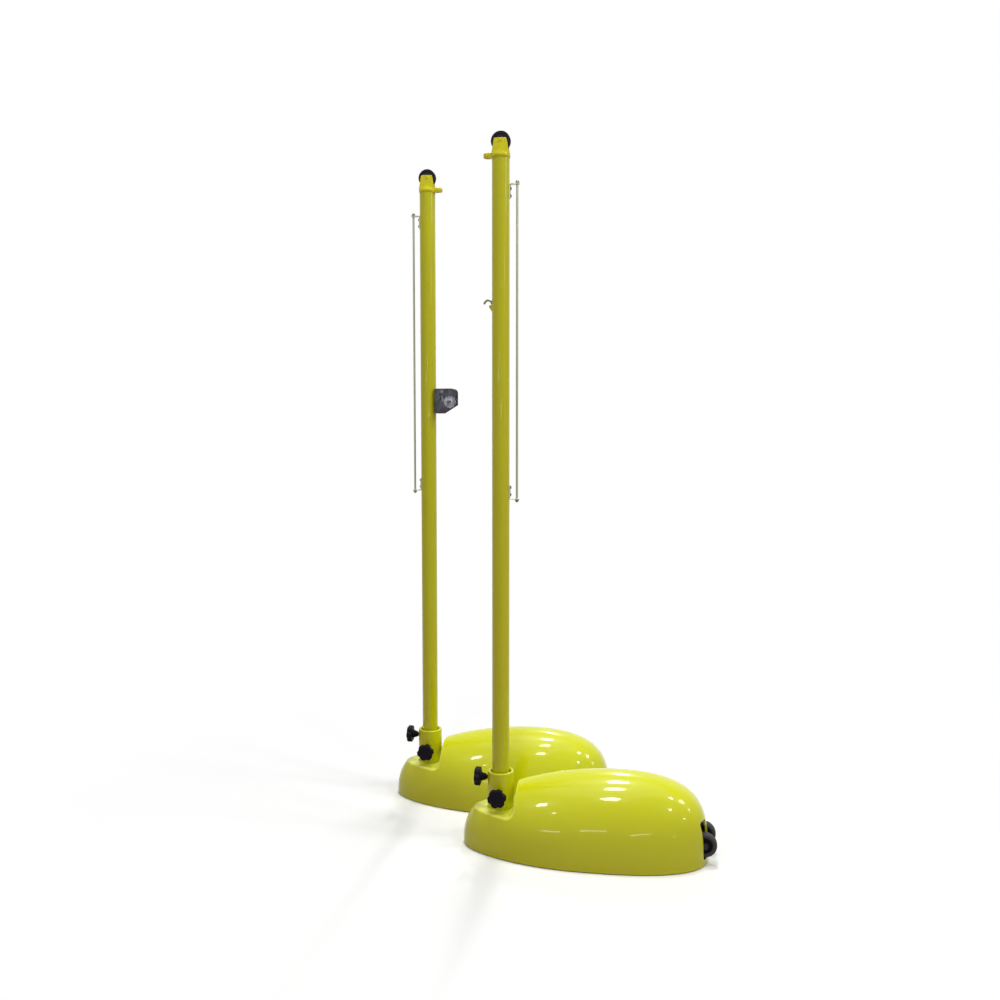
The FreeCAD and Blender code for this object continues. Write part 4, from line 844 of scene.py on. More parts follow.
@dataclass(frozen=True)
class Knob:
    """Six-lobed clamp knob on its screw, worked out along +Z from the pole's axis."""

    name: str
    height: float
    turn: np.ndarray
    phase: float
    radius: float = 20.5
    scallop: float = 8.5
    depth: float = 2.6
    lobes: int = 6
    lobe_blend: float = 1.6
    back: float = 45.5
    back_edge: float = 2.0
    front: float = 58.0
    front_edge: float = 2.4
    hub_tip: float = 6.5
    hub_root: float = 10.5
    hub_length: float = 13.0
    screw: float = 5.0
    screw_tip: float = 22.6
    screw_sunk: float = 6.0
    pitch: float = 1.5
    thread: float = 0.8
    pad_radius: float = 4.5
    pad_face: float = 19.3
    pad_thickness: float = 3.0
    stem_radius: float = 2.0
    stem_length: float = 5.0

    def rim(self, angle: np.ndarray) -> np.ndarray:
        """Radius of the star: the disc's, or the near side of the nearest scallop's circle.

        A soft minimum joins the two, so that the lobes' corners are round.

        Args:
            angle: Angles round the knob.

        Returns:
            The radius at each angle.
        """
        period = 2 * np.pi / self.lobes
        off = (angle - self.phase) % period - period / 2
        middle = self.radius - self.depth + self.scallop
        sine = np.minimum((middle * np.sin(off)) ** 2, self.scallop ** 2)
        hollow = middle * np.cos(off) - np.sqrt(self.scallop ** 2 - sine)
        near = np.maximum(self.lobe_blend - np.abs(self.radius - hollow), 0)
        return np.minimum(self.radius, hollow) - near ** 2 / (4 * self.lobe_blend)

    def grip(self) -> Skin:
        """Lobed head with a dished face and round edges, and a tapered hub behind it.

        Each row is a plain radius, a share of the star's rim, how far it is drawn in, a height.

        Returns:
            The closed surface.
        """
        arc = np.linspace(0, np.pi / 2, 6)
        tip = self.back - self.hub_length
        rows = [(self.hub_tip - 1.0, 0.0, 0.0, tip),
                (self.hub_tip - 0.3, 0.0, 0.0, tip + 0.3),
                (self.hub_tip + 0.2, 0.0, 0.0, tip + 1.0),
                (self.hub_root - 0.4, 0.0, 0.0, self.back - 1.2),
                (self.hub_root + 0.6, 0.0, 0.0, self.back)]
        rows += [(0.0, 1.0, self.back_edge * (1 - math.sin(a)),
                  self.back + self.back_edge * (1 - math.cos(a))) for a in arc]
        rows += [(0.0, 1.0, self.front_edge * (1 - math.sin(a)),
                  self.front - self.front_edge * (1 - math.cos(a))) for a in arc[::-1]]
        rows += [(radius, 0.0, 0.0, self.front - sunk) for radius, sunk in (
            (11.4, 0.2), (10.2, 0.9), (8.2, 0.9), (7.8, 0.4), (6.0, 0.15))]
        plain, share, inset, height = np.array(rows).T[:, :, None]
        angle = round_angles(120)
        return capped(polar(plain + share * self.rim(angle)[None, :] - inset, angle, height))

    def screw_skin(self) -> Skin:
        """Threaded screw: the radius falls and rises by the thread's depth along the helix.

        Returns:
            The closed surface.
        """
        angle = round_angles(32)[None, :]
        height = np.arange(self.screw_tip, self.back + self.screw_sunk + 1e-6,
                           self.pitch / 6)[:, None]
        wave = (height / self.pitch - angle / (2 * np.pi)) % 1.0
        return capped(polar(self.screw - self.thread * np.abs(2 * wave - 1), angle, height))

    def pad(self) -> Skin:
        """Rounded pad on the screw's tip, with its stem.

        Returns:
            The closed surface.
        """
        back = self.pad_face + self.pad_thickness
        stem_end = back + self.stem_length
        return turned([(0, self.pad_face), (self.pad_radius, self.pad_face),
                       (self.pad_radius, back), (self.stem_radius, back),
                       (self.stem_radius, stem_end), (0, stem_end)],
                      [0, 0.8, 0.4, 0.2, 0.4, 0], 48)

    def placed(self, skin: Skin) -> Skin:
        """Surface along the knob's own axis, turned and raised to its place."""
        return skin.placed(self.turn).raised(self.height)


@dataclass(frozen=True)
class Wheel:
    """Transport wheel: rubber tread on a moulded hub, worked out along +Z from the middle."""

    radius: float = 26.0
    inner_face: float = 20.0
    outer_face: float = 40.0
    hub_inner: float = 16.3
    hub_outer: float = 41.0
    hub_radius: float = 8.0
    bore: float = 4.1
    sides: int = 72

    def tread(self) -> Skin:
        """Tyre with a crowned tread and two shallow grooves.

        Returns:
            The closed surface.
        """
        low, high, big = self.inner_face, self.outer_face, self.radius
        half = [(16.5, 2.5), (18.5, 0.0), (big - 3.2, 0.0), (big - 0.6, 3.6), (big, 6.2),
                (big - 0.8, 6.9), (big, 7.6)]
        radii = [0.8, 1.2, 2.5, 1.5, 0.3, 0.3, 0.3]
        ring = [(radius, low + in_from) for radius, in_from in half]
        ring += [(radius, high - in_from) for radius, in_from in half[::-1]]
        return turned(ring, radii + radii[::-1], self.sides, True, 4)

    def hub(self) -> Skin:
        """Hub with a thin web and a rim inside the tread.

        Returns:
            The closed surface.
        """
        web = [(self.hub_radius, 5.5), (13.5, 5.5), (14.2, 1.5), (17.0, 1.5)]
        ring = [(self.bore, self.hub_inner), (self.hub_radius, self.hub_inner)]
        ring += [(radius, self.inner_face + in_from) for radius, in_from in web]
        ring += [(radius, self.outer_face - in_from) for radius, in_from in web[::-1]]
        ring += [(self.hub_radius, self.hub_outer), (self.bore, self.hub_outer)]
        return turned(ring, 0.6, self.sides, True, 4)


@dataclass(frozen=True)
class Base:
    """Weighted base of one post: shell, socket, clamp knobs and wheels."""

    post: Post
    form: ShellForm = ShellForm()
    wheel: Wheel = Wheel()
    knobs: tuple[Knob, ...] = (Knob("front_knob", 122.0, SIDEWAYS, math.radians(10)),
                               Knob("side_knob", 151.0, FORWARDS, 0.0))
    socket_radius: float = 29.0
    socket_bore: float = 22.5
    socket_low: float = 10.0
    socket_top: float = 168.5
    socket_rim: float = 3.2
    weld: float = 3.0
    flange_radius: float = 50.0
    flange_thickness: float = 6.0
    hole_radius: float = 29.6
    slot_inner: float = 17.0
    slot_outer: float = 45.0
    axle_x: float = 445.0
    axle_height: float = 44.0
    axle_radius: float = 4.0
    axle_half: float = 44.0

    def openings(self) -> Skin:
        """Cutters for the wheel slots with the window between them, and for the socket.

        Returns:
            The cutters, which run well past the shell.
        """
        near, far = self.slot_inner, self.slot_outer
        slots = softened([(-far, 14), (-near, 14), (-near, 30), (near, 30), (near, 14), (far, 14),
                          (far, 96), (near, 96), (near, 58), (-near, 58), (-near, 96),
                          (-far, 96)],
                         [7, 3, 3, 3, 3, 7, 7, 7, 3, 3, 7, 7])
        return merged(slab(slots, 372.0, 520.0, 0.5).placed(TAILWARDS),
                      disc(self.hole_radius, 55.0, 120.0, 0.5, 96))

    def shell(self) -> None:
        """Shell with its step and its openings, and the "edge" attribute that places its finish's
        painted highlight and painted light.
        """
        item = make_object(self.post.node("base_shell") + "_skin",
                           self.post.on_base(self.form.skin()), SHELL_YELLOW)
        mesh = carved(item, self.post.on_base(self.openings()), 35.0)
        spots = np.zeros(len(mesh.vertices) * 3)
        mesh.vertices.foreach_get("co", spots)
        spots = spots.reshape(-1, 3) / MILLIMETRE - np.array([self.post.x, self.post.y, 0.0])
        # Painted light: the "edge" attribute paints a highlight on the step's outer edge and light
        # on the step.
        mesh.attributes.new("edge", "FLOAT", "POINT").data.foreach_set(
            "value", self.form.painted_light_share(spots))
        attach(item, "bases")
        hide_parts(self.post.node("base_shell"))
        LOG.info("%s on bases", item.name)

    def socket(self) -> None:
        """Socket tube with a rolled rim, welded to its flange."""
        outer, bore, low, rim = (self.socket_radius, self.socket_bore, self.socket_low,
                                 self.socket_rim)
        tube = turned([(bore, low), (outer + self.weld, low), (outer, low + 3 * self.weld),
                       (outer, self.socket_top), (bore, self.socket_top)],
                      [0, 0, self.weld, rim, rim], 96, True, 8)
        flange = sleeve(bore, self.flange_radius, low, low + self.flange_thickness, 0.8)
        self.post.add("pole_socket", self.post.on_base(merged(tube, flange)), POLE_YELLOW,
                      "bases")

    def clamps(self) -> None:
        """Both knobs with their screws and pads."""
        for knob in self.knobs:
            body = "%s_%s" % (self.post.name, knob.name)
            for part, skin, finish, carrier in (
                    ("grip", knob.grip(), KNOB_BLACK, body),
                    ("screw", knob.screw_skin(), DARK_STEEL, body),
                    ("pad", knob.pad(), NYLON, body + "_pad")):
                self.post.add("%s_%s" % (knob.name, part),
                              self.post.on_base(knob.placed(skin)), finish, carrier)

    def wheels(self) -> None:
        """Both wheels, tread and hub, and the axle that carries them."""
        def on_axle(skin: Skin, turn: np.ndarray) -> Skin:
            """Surface worked out about the axle's middle, turned and put in its place."""
            return self.post.on_base(skin.placed(turn, self.axle_x, 0, self.axle_height))

        for side, turn in (("left", HALF_TURN @ SIDEWAYS), ("right", SIDEWAYS)):
            body = "%s_%s_wheel" % (self.post.name, side)
            self.post.add(side + "_wheel", on_axle(self.wheel.tread(), turn), WHEEL_RUBBER, body)
            self.post.add(side + "_wheel_hub", on_axle(self.wheel.hub(), turn), KNOB_BLACK, body,
                          ())
        axle = disc(self.axle_radius, -self.axle_half, self.axle_half, 0.8)
        self.post.add("wheel_axle", on_axle(axle, SIDEWAYS), DARK_STEEL, "bases")

    def build(self) -> None:
        """Make every piece of the base."""
        self.shell()
        self.socket()
        self.clamps()
        self.wheels()


# Pole and its fittings

@dataclass(frozen=True)
class Pole:
    """Pole tube with its pulley, cord eye and lacing rod, common to both posts."""

    post: Post
    radius: float = 19.0
    bore: float = 17.0
    foot: float = 18.0
    top: float = 1499.5
    flange_radius: float = 20.5
    flange_top: float = 1506.0
    ear_top: float = 1508.5
    eye_x: float = -28.0
    eye_radius: float = 9.5
    eye_bore: float = 4.5
    spigot_bore: float = 13.95
    spigot_radius: float = 16.95
    spigot_length: float = 40.0
    cheek_top: float = 1538.8
    cheek_half: float = 13.75
    cheek_inside: float = 6.6
    cheek_thickness: float = 4.0
    sheave_height: float = 1533.5
    sheave_radius: float = 20.8
    groove_radius: float = 4.6
    pin: float = 3.0
    pin_head: float = 4.5
    rod_x: float = 35.5
    rod_radius: float = 2.5
    rod_low: float = 772.0
    rod_high: float = 1445.0
    strip: float = 2.5
    strip_half: float = 5.5
    strip_gap: float = 0.05
    strip_bend: float = 2.6
    leg: float = 31.0
    rivets: tuple[float, ...] = (782.5, 798.0, 1419.0, 1434.5)

    @property
    def body(self) -> str:
        """Name of the body that the pole and its fittings ride on."""
        return self.post.name + "_pole"

    def add(self, part: str, skin: Skin, finish: Finish, body: str | None = None) -> None:
        """Make one piece of the pole from its surface in the pole's own frame."""
        self.post.add(part, self.post.on_pole(skin), finish, body or self.body)

    def tube(self) -> None:
        """Plain tube, with ends broken by a small radius."""
        self.add("pole_tube", sleeve(self.bore, self.radius, self.foot, self.top, 0.4),
                 POLE_YELLOW)

    def bracket(self) -> None:
        """Disc with its weld, ear with the cord eye, two cheeks and the spigot in the tube."""
        low, high = self.top, self.flange_top
        flange = disc(self.flange_radius, low, high, 1.2, 96)
        weld = turned([(self.radius - 1.0, low - 2.0), (self.radius + 0.1, low - 2.2),
                       (self.radius + 1.2, low + 0.2), (self.radius - 1.0, low + 0.2)],
                      0.4, 96, True, 3)
        angle = round_angles(64)
        reach = self.eye_radius * np.where(
            np.cos(angle) > 0, 1 / np.maximum(np.abs(np.sin(angle)), 0.55), 1.0)
        outer = np.stack([self.eye_x + reach * np.cos(angle), reach * np.sin(angle)], axis=1)
        ear = ringed(outer, circle(self.eye_bore, 64, self.eye_x), low, self.ear_top, 1.2)
        spigot = sleeve(self.spigot_bore, self.spigot_radius, low - self.spigot_length,
                        low + 1.0, 0.5, 64)
        outline = softened([(-self.radius, high - 1.0), (self.radius, high - 1.0),
                            (self.cheek_half, self.cheek_top),
                            (-self.cheek_half, self.cheek_top)], [0.5, 0.5, 4.5, 4.5])
        thick = self.cheek_thickness
        cheeks = [slab(outline, start, start + thick, 0.9).placed(SIDEWAYS)
                  for start in (self.cheek_inside, -self.cheek_inside - thick)]
        self.add("pulley_bracket", merged(flange, weld, ear, spigot, *cheeks), BRACKET_YELLOW)

    def sheave(self) -> None:
        """Grooved wheel with recessed sides, and the pin with two domed heads."""
        big, round_by = self.sheave_radius, self.groove_radius
        sweep = np.linspace(math.radians(152), math.radians(28), 16)
        groove = np.stack([big + 0.4 - round_by * np.sin(sweep), round_by * np.cos(sweep)],
                          axis=1)
        side = softened([(self.pin + 0.05, -5.8), (8.0, -5.8), (8.8, -4.2), (15.0, -4.2),
                         (15.8, -6.0), (big - 0.4, -6.0)], [0, 0.5, 0.5, 0.5, 0.5, 0],
                        closed=False)
        other = (side * np.array([1.0, -1.0]))[::-1]
        ring = np.vstack([side, [[big, -5.4]], groove, [[big, 5.4]], other])
        wheel = revolved(ring, 96, closed=True).placed(SIDEWAYS).raised(self.sheave_height)
        self.add("sheave", wheel, SHEAVE_BLACK, self.post.name + "_sheave")
        shank, head = self.pin, self.pin_head
        half = [(0, 11.4), (head - 0.8, 11.3), (head, 10.6), (shank, 10.6)]
        pin = turned([(radius, -height) for radius, height in half] + half[::-1],
                     [0, 0.8, 0.2, 0, 0, 0.2, 0.8, 0], 48)
        self.add("sheave_pin", pin.placed(SIDEWAYS).raised(self.sheave_height), BRACKET_YELLOW)

    def bent_strip(self, arm: float, up: int) -> Skin:
        """Strip that follows the tube, then bends outwards to a round-ended arm.

        The strip's middle line runs along its leg, round a bend and along its arm. Its section is
        a rounded rectangle across that line, and on the leg the section curves with the tube:
        each point moves in by R - sqrt(R^2 - y^2).

        Args:
            arm: Height of the arm's middle.
            up: One where the arm is above the leg, minus one where it is below.

        Returns:
            The closed surface.
        """
        half, count, thinned = self.strip / 2, 14, 0.55
        leg_x = self.radius + self.strip_gap + half
        line = softened([(leg_x, arm - up * (self.leg - half)), (leg_x, arm),
                         (self.rod_x + self.strip_half, arm)], self.strip_bend, closed=False,
                        steps=10)
        share = np.linspace(0, 1, len(line) * 6)
        travelled = np.concatenate([[0], np.cumsum(np.linalg.norm(np.diff(line, axis=0),
                                                                  axis=1))])
        line = np.stack([np.interp(share * travelled[-1], travelled, line[:, axis])
                         for axis in (0, 1)], axis=1)
        normal = directed(line)[1] * up
        past = np.clip(line[:, 0] - self.rod_x, 0, self.strip_half - 0.05)
        wide = np.sqrt(self.strip_half ** 2 - past ** 2)
        sweep = np.linspace(-1, 1, count)
        across = up * np.concatenate([sweep, sweep[::-1]])
        thick = np.concatenate([np.full(count, -half), np.full(count, half)])
        thick[[0, count - 1, count, -1]] *= thinned
        side = wide[:, None] * across[None, :]
        saddle = self.radius - np.sqrt(self.radius ** 2 - side ** 2)
        bend = np.clip((leg_x + self.strip_bend - line[:, 0]) / self.strip_bend, 0, 1)[:, None]
        x = line[:, 0][:, None] + normal[:, 0][:, None] * thick - saddle * bend
        z = line[:, 1][:, None] + normal[:, 1][:, None] * thick
        return capped(np.stack([x, side, z], axis=-1))

    def lacing_rod(self) -> None:
        """Rod with its nuts, brackets and rivets."""
        rod = disc(self.rod_radius, self.rod_low - 3.0, self.rod_high + 3.0, 0.4)
        self.add("lacing_rod", rod.placed(UPRIGHT, self.rod_x), ROD_ZINC)
        strips = [self.bent_strip(self.rod_high - self.strip / 2, 1),
                  self.bent_strip(self.rod_low + self.strip / 2, -1)]
        self.add("rod_brackets", merged(*strips), STRIP_ZINC)
        rivet = turned([(0, -4.5), (2.0, -4.5), (2.0, 0.0), (3.5, 0.0), (2.6, 1.7), (0, 2.0)],
                       [0, 0.3, 0, 0.5, 1.4, 0])
        rivets = [rivet.placed(TAILWARDS, self.radius + self.strip_gap + self.strip, 0, height)
                  for height in self.rivets]
        self.add("rod_rivets", merged(*rivets), RIVET_STEEL)
        dome = turned([(0, 2.4), (3.3, 2.4), (3.3, 4.0), (2.2, 6.0), (0, 6.3)],
                      [0, 0, 1.2, 1.4, 0])
        nut = merged(slab(circle(4.5, 6), 0.0, 3.0, 0.35), dome)
        self.add("rod_cap_nuts", merged(nut.placed(UPRIGHT, self.rod_x, 0, self.rod_high),
                                        nut.placed(UPSIDE_DOWN, self.rod_x, 0, self.rod_low)),
                 OLIVE_ZINC)

    def build(self) -> None:
        """Make every piece that both poles have."""
        self.tube()
        self.bracket()
        self.sheave()
        self.lacing_rod()


@dataclass(frozen=True)
class HookPole(Pole):
    """Pole with the cord hook."""

    hook_x: float = -27.6
    hook_height: float = 1192.6
    bend: float = 8.2
    hook_start: float = -4.0
    hook_end: float = 168.0
    wire: float = 2.3

    def hook(self) -> None:
        """Wire bent over from the pole, with a round tip, on its gusset."""
        rings = 48
        angle = np.radians(np.linspace(self.hook_start, self.hook_end, rings))
        path = np.stack([self.hook_x + self.bend * np.cos(angle),
                         self.hook_height + self.bend * np.sin(angle)], axis=1)
        tip = np.linspace(0, np.pi / 2, 6)[1:]
        ahead = np.array([-math.sin(angle[-1]), math.cos(angle[-1])])
        path = np.vstack([path, path[-1] + self.wire * np.sin(tip)[:, None] * ahead])
        radius = np.concatenate([np.full(rings, self.wire),
                                 self.wire * np.maximum(np.cos(tip), 0.02)])
        self.add("cord_hook", swept(path, radius), OLIVE_ZINC)
        gusset = slab(softened([(-18.4, 1176.0), (-17.8, 1191.2), (-25.6, 1188.4)],
                               [0.2, 0.2, 1.2]), -2.5, 2.5, 0.7, flared=True).placed(SIDEWAYS)
        self.add("hook_gusset", gusset, POLE_YELLOW)

    def build(self) -> None:
        """Make the pole's pieces and the hook."""
        super().build()
        self.hook()


@dataclass(frozen=True)
class WinchPole(Pole):
    """Pole with the ratchet winch. The winch is worked out with its reach towards +X."""

    low: float = 963.5
    high: float = 1024.0
    reach: float = 71.2
    foot_reach: float = 38.0
    nose: float = 984.0
    corner: float = 10.5
    sheet: float = 2.5
    half_inside: float = 15.0
    screw_inset: float = 13.0
    drum_x: float = 58.0
    drum_z: float = 990.8
    square_half: float = 3.5
    square_length: float = 11.0
    ratchet_back: float = 18.0
    ratchet_front: float = 22.0
    teeth: int = 12
    root: float = 13.2
    tip: float = 16.0
    face: float = 180.0
    lean: float = 0.04526
    play: float = 0.4
    pin_x: float = 39.0
    pin_z: float = 1015.0
    tab_angle: float = 241.0
    tab_reach: float = 20.5

    def add_winch(self, part: str, skin: Skin, finish: Finish, body: str) -> None:
        """Make one piece of the winch from its surface about the pole's foot."""
        self.post.add(part, self.post.on_base(skin), finish, body)

    def frame(self) -> None:
        """Channel of folded sheet, with a bend radius at the web, and its two screws."""
        back, web = self.radius, self.radius + self.sheet
        outline = softened([(back, self.low), (self.foot_reach, self.low),
                            (self.reach, self.nose), (self.reach, self.high),
                            (back, self.high)], [0.5, 2.0, 2.0, self.corner, 0.5], steps=8)
        inside, outside = self.half_inside, self.half_inside + self.sheet
        plates = [slab(outline, start, start + self.sheet, 0.7).placed(SIDEWAYS)
                  for start in (inside, -outside)]
        section = softened([(back, -outside), (web, -outside), (web, outside), (back, outside)],
                           [2.0, 0.3, 0.3, 2.0])
        self.add_winch("winch_frame", merged(*plates, slab(section, self.low, self.high, 0.5)),
                       WINCH_GREY, self.body)
        head = merged(slab(circle(5.5, 6), 0.9, 4.0, 0.4), disc(5.5, 0.0, 0.9, 0.2),
                      disc(3.0, -6.4, 0.5, 0.3))
        screws = [head.placed(TAILWARDS, web, 0, height)
                  for height in (self.low + self.screw_inset, self.high - self.screw_inset)]
        self.add_winch("winch_screws", merged(*screws), ZINC, self.body)

    def drum(self) -> None:
        """Spool, shaft, collar and the square for the crank."""
        front, half = self.ratchet_front, self.square_half
        spool = turned([(0, -20.8), (8.0, -20.8), (8.0, -17.8), (5.0, -17.8), (5.0, -14.7),
                        (12.5, -14.7), (12.5, -12.7), (6.5, -12.7), (6.5, 12.7), (12.5, 12.7),
                        (12.5, 14.7), (5.0, 14.7), (5.0, front), (0, front)],
                       [0, 0.8, 0.8, 0, 0, 0.8, 0.8, 1.5, 1.5, 0.8, 0.8, 0, 0.3, 0], 64)
        square = slab(softened([(-half, -half), (half, -half), (half, half), (-half, half)], 0.7),
                      front - 0.5, front + self.square_length, 0.8)
        self.add_winch("winch_drum", merged(spool, square).placed(
            SIDEWAYS, self.drum_x, 0, self.drum_z), WINCH_DARK, "winch_drum")

    def tooth_point(self, radius: float, back: float) -> Pair:
        """Point of the ratchet by radius and by angle before the tooth's face."""
        angle = math.radians(self.face) - back
        return (self.drum_x + radius * math.cos(angle), self.drum_z + radius * math.sin(angle))

    def ratchet(self) -> None:
        """Saw-toothed wheel: each tooth rises from the root to the tip and drops back steeply."""
        angle = math.radians(self.face) + 2 * np.pi * np.arange(self.teeth) / self.teeth
        outline = np.stack([np.stack([radius * np.cos(angle + ahead),
                                      radius * np.sin(angle + ahead)], axis=1)
                            for radius, ahead in ((self.root, 0.0), (self.tip, self.lean))],
                           axis=1).reshape(-1, 2)
        front = self.ratchet_front
        wheel = merged(slab(outline, self.ratchet_back, front, 0.35),
                       disc(7.5, front - 0.5, front + 1.4, 0.5, 48))
        self.add_winch("ratchet_wheel", wheel.placed(SIDEWAYS, self.drum_x, 0, self.drum_z),
                       WINCH_STEEL, "winch_drum")

    def pawl_outline(self) -> np.ndarray:
        """Outline of the pawl: its nose in the teeth, its eye round the pin and a finger tab.

        Returns:
            Points of the outline, counter-clockwise.
        """
        def by_pin(radius: float, degrees: float) -> Pair:
            """Point by radius and angle about the pin."""
            angle = math.radians(degrees)
            return self.pin_x + radius * math.cos(angle), self.pin_z + radius * math.sin(angle)

        pitch = 2 * math.pi / self.teeth
        nose = np.array(self.tooth_point(self.root + self.play, self.play / self.root))
        slope = np.array(self.tooth_point(self.tip, -self.lean)) - self.tooth_point(self.root, 0)
        heel = nose + 6.3 * slope / np.linalg.norm(slope)
        spots = [tuple(nose), self.tooth_point(self.root + self.play + 1.0, pitch * 0.36),
                 self.tooth_point(self.tip + self.play, pitch * 0.7)]
        spots += [by_pin(4.6, degrees) for degrees in (0, 40, 80, 120, 160, 190)]
        spots += [by_pin(self.tab_reach, self.tab_angle + off) for off in (-8.3, 8.3)]
        spots += [by_pin(10.0, self.tab_angle + 16.0), tuple(heel)]
        return softened(spots, [0.3, 0.3, 0.8] + [1.0] * 6 + [1.6, 1.6, 0.8, 0.4], steps=4)

    def pawl(self) -> None:
        """Pawl between the frame and the pin's head, and that headed pin."""
        front = self.ratchet_front
        plate = slab(self.pawl_outline(), self.ratchet_back, front, 0.5).placed(SIDEWAYS)
        self.add_winch("pawl", plate, WINCH_DARK, "winch_pawl")
        pin = turned([(0, self.half_inside), (2.5, self.half_inside), (2.5, front + 0.3),
                      (4.0, front + 0.3), (3.4, front + 2.0), (0, front + 2.3)],
                     [0, 0.3, 0, 0.3, 1.0, 0])
        self.add_winch("pawl_pin", pin.placed(SIDEWAYS, self.pin_x, 0, self.pin_z), WINCH_DARK,
                       self.body)

    def build(self) -> None:
        """Make the pole's pieces and the winch."""
        super().build()
        self.frame()
        self.drum()
        self.ratchet()
        self.pawl()


# Hidden pieces, studio and camera

@dataclass(frozen=True)
class CarriedOver:
    """Finish for CAD nodes that stay as they are."""

    ending: str
    finish: Finish

    def dress(self, nodes: dict[str, bpy.types.Object]) -> None:
        """Give the finish to every node whose name has this ending.

        Args:
            nodes: The frame's nodes by name.
        """
        for name, item in sorted(nodes.items()):
            if name.endswith(self.ending):
                item.data.materials.clear()
                item.data.materials.append(self.finish.material())
                LOG.info("%s keeps its CAD shape", name)


CARRIED_OVER = (
    CarriedOver("base_plate", CHASSIS_BLACK),
    CarriedOver("ballast_weight", CAST_IRON),
    CarriedOver("axle_bracket", CHASSIS_BLACK),
    CarriedOver("pole_seat", KNOB_BLACK),
    CarriedOver("ballast_bolts", ZINC),
    CarriedOver("shell_screws", ZINC),
    CarriedOver("socket_bolts", ZINC),
    CarriedOver("axle_clips", DARK_STEEL),
    CarriedOver("rubber_feet", FOOT_RUBBER),
)


class Outline(Enum):
    """Outline of an area lamp."""

    OVAL = "ELLIPSE"
    OBLONG = "RECTANGLE"


@dataclass(frozen=True)
class Lamp:
    """Area lamp aimed at a point, in metres."""

    name: str
    place: Triple
    watts: float
    size: Pair
    outline: Outline = Outline.OVAL
    aim: Triple = (0.1, 0.0, 0.3)

    def add(self) -> None:
        """Put the lamp into the scene."""
        data = bpy.data.lights.new(self.name, "AREA")
        data.shape = self.outline.value
        data.size, data.size_y = self.size
        data.energy = self.watts
        item = bpy.data.objects.new(self.name, data)
        item.location = self.place
        back = np.array(self.place) - np.array(self.aim)
        yaw = math.atan2(back[0], -back[1])
        item.rotation_euler = (math.acos(back[2] / float(np.linalg.norm(back))), 0.0, yaw)
        bpy.context.scene.collection.objects.link(item)


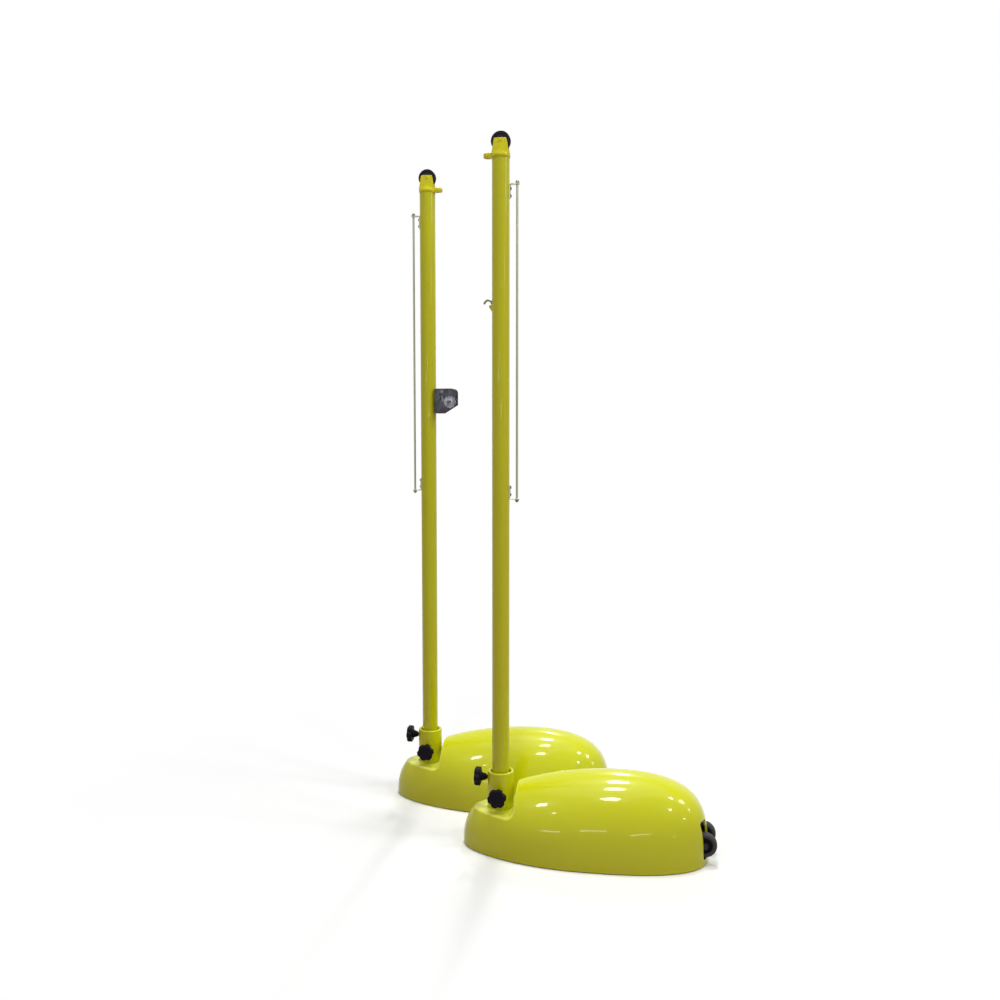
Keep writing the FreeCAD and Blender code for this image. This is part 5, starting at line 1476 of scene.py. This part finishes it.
@dataclass(frozen=True)
class Studio:
    """Pale floor, even light and the photograph's camera."""

    lamps: tuple[Lamp, ...] = (
        Lamp("overhead", (0.0, -0.2, 8.0), 150.0, (8.0, 8.0)),
        Lamp("ceiling_middle_front", (-0.02, -4.05, 6.4), 50.0, (0.62, 0.86)),
        Lamp("ceiling_middle", (0.0, -1.18, 6.4), 50.0, (0.62, 0.86)),
        Lamp("ceiling_middle_back", (-0.02, 1.16, 6.4), 105.0, (0.70, 0.98)),
        Lamp("ceiling_far_back", (-0.06, 6.82, 6.4), 120.0, (0.74, 1.02)),
        Lamp("ceiling_left", (-4.08, -4.46, 6.4), 72.0, (0.70, 0.96)),
        Lamp("ceiling_left_front", (-4.12, -8.15, 6.4), 12.0, (0.36, 0.46)),
        Lamp("ceiling_right", (4.0, -1.46, 6.4), 60.0, (0.76, 0.76)),
        Lamp("ceiling_right_side", (6.66, -0.77, 6.4), 125.0, (1.9, 1.6)),
        Lamp("ceiling_right_front", (5.7, -6.18, 6.4), 50.0, (0.8, 0.8)),
        Lamp("ceiling_far_right", (12.4, -1.71, 6.4), 75.0, (1.6, 1.6)),
        Lamp("ceiling_far_front", (16.1, -10.2, 6.4), 80.0, (1.5, 1.5)),
        Lamp("row_left", (-5.4, -13.4, 2.7), 25.0, (2.6, 0.3), Outline.OBLONG),
        Lamp("row_middle", (-0.83, -14.4, 3.1), 20.0, (1.9, 0.3), Outline.OBLONG),
        Lamp("row_right", (3.6, -14.2, 1.9), 25.0, (2.8, 0.3), Outline.OBLONG),
        Lamp("row_far_right", (4.0, -5.0, 0.12), 1.0, (0.6, 0.1), Outline.OBLONG),
    )
    camera_place: Triple = (0.27365, -2.18315, 0.92284)
    camera_azimuth: float = 9.83
    camera_pitch: float = 4.19
    lens: float = 34.45
    floor_radius: float = 12000.0
    floor_depth: float = 5.0
    floor_shown: Triple = (0.95, 0.95, 0.95)
    floor_bounce: Triple = (0.28, 0.18, 0.08)
    fade: Pair = (0.45, 1.3)
    world_light: float = 0.06

    def seen(self, graph: Graph) -> bpy.types.NodeSocket:
        """One for the rays that show the background: from the camera, off a gloss or through.

        Args:
            graph: Node tree of the floor or the world.

        Returns:
            The socket with that value, zero for every other ray.
        """
        value = graph.add("LightPath", "Is Camera Ray", {})
        rays = value.node.outputs
        for kind in ("Is Glossy Ray", "Is Transmission Ray"):
            value = graph.add("Math", "Value", {0: value, 1: rays[kind]}, operation="MAXIMUM")
        return value

    def floor_finish(self) -> bpy.types.Material:
        """Pale matt floor that fades to plain white, where it is seen, away from the posts.

        Returns:
            The material.
        """
        material = bpy.data.materials.new("pale_floor")
        material.use_nodes = True
        graph = Graph(material.node_tree)
        nodes = graph.tree.nodes
        seen = self.seen(graph)
        colour = graph.add("Mix", "Result", {
            "Factor": seen, "A": (*self.floor_bounce, 1.0), "B": (*self.floor_shown, 1.0)},
            data_type="RGBA")
        graph.fill(nodes["Principled BSDF"], {
            "Base Color": colour, "Roughness": 0.9, "Specular IOR Level": 0.1})
        place = graph.add("TexCoord", "Object", {})
        away = graph.add("VectorMath", "Value", {0: place}, operation="LENGTH")
        fade = graph.add("MapRange", "Result", {"Value": away, "From Min": self.fade[0],
                                                "From Max": self.fade[1]})
        amount = graph.add("Math", "Value", {0: fade, 1: seen}, operation="MULTIPLY")
        white = graph.add("Emission", "Emission", {"Strength": 1.0})
        both = graph.add("MixShader", "Shader", {
            "Fac": amount, 1: nodes["Principled BSDF"].outputs["BSDF"], 2: white})
        graph.fill(nodes["Material Output"], {"Surface": both})
        return material

    def floor(self) -> None:
        """Round floor at height zero."""
        edge, under = self.floor_radius, -self.floor_depth
        profile = np.array([(0.0, under), (edge, under), (edge, 0.0), (4000.0, 0.0),
                            (1500.0, 0.0), (600.0, 0.0), (200.0, 0.0), (0.0, 0.0)])
        mesh = revolved(profile, 64).mesh("floor")
        mesh.materials.append(self.floor_finish())
        item = bpy.data.objects.new("floor", mesh)
        bpy.context.scene.collection.objects.link(item)
        item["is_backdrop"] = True

    def world(self) -> None:
        """Even grey light, and plain white where the camera or a gloss looks past the floor."""
        world = bpy.data.worlds.new("studio")
        bpy.context.scene.world = world
        world.use_nodes = True
        graph = Graph(world.node_tree)
        level = graph.add("MapRange", "Result", {
            "Value": self.seen(graph), "To Min": self.world_light, "To Max": 1.0})
        graph.fill(graph.tree.nodes["Background"], {
            "Strength": level, "Color": (1.0, 1.0, 1.0, 1.0)})

    def camera(self) -> None:
        """Camera at the photograph's place, turned and pitched as it was."""
        data = bpy.data.cameras.new("camera")
        data.lens = self.lens
        data.sensor_width = 36.0
        data.clip_start, data.clip_end = 0.05, 100.0
        item = bpy.data.objects.new("camera", data)
        item.location = self.camera_place
        item.rotation_euler = (math.radians(90 - self.camera_pitch), 0.0,
                               math.radians(self.camera_azimuth))
        bpy.context.scene.collection.objects.link(item)
        bpy.context.scene.camera = item

    def build(self) -> None:
        """Make the floor, the light and the camera."""
        bpy.context.scene.view_settings.view_transform = "Standard"
        self.camera()
        self.floor()
        self.world()
        for lamp in self.lamps:
            lamp.add()


def corners() -> list[list[float]]:
    """The shown object's lowest and highest corners as plain numbers."""
    return [list(corner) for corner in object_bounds()]


def main() -> None:
    """Load the frame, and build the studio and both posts."""
    logging.basicConfig(level=logging.INFO, format="%(message)s")
    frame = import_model()
    Studio().build()
    posts = (Post("hook", -79.85, -132.65, UPRIGHT), Post("winch", -307.15, 132.65, HALF_TURN))
    for post in posts:
        Base(post).build()
    HookPole(posts[0]).build()
    WinchPole(posts[1]).build()
    for kind in CARRIED_OVER:
        kind.dress(frame["nodes"])


if __name__ == "__main__":
    main()
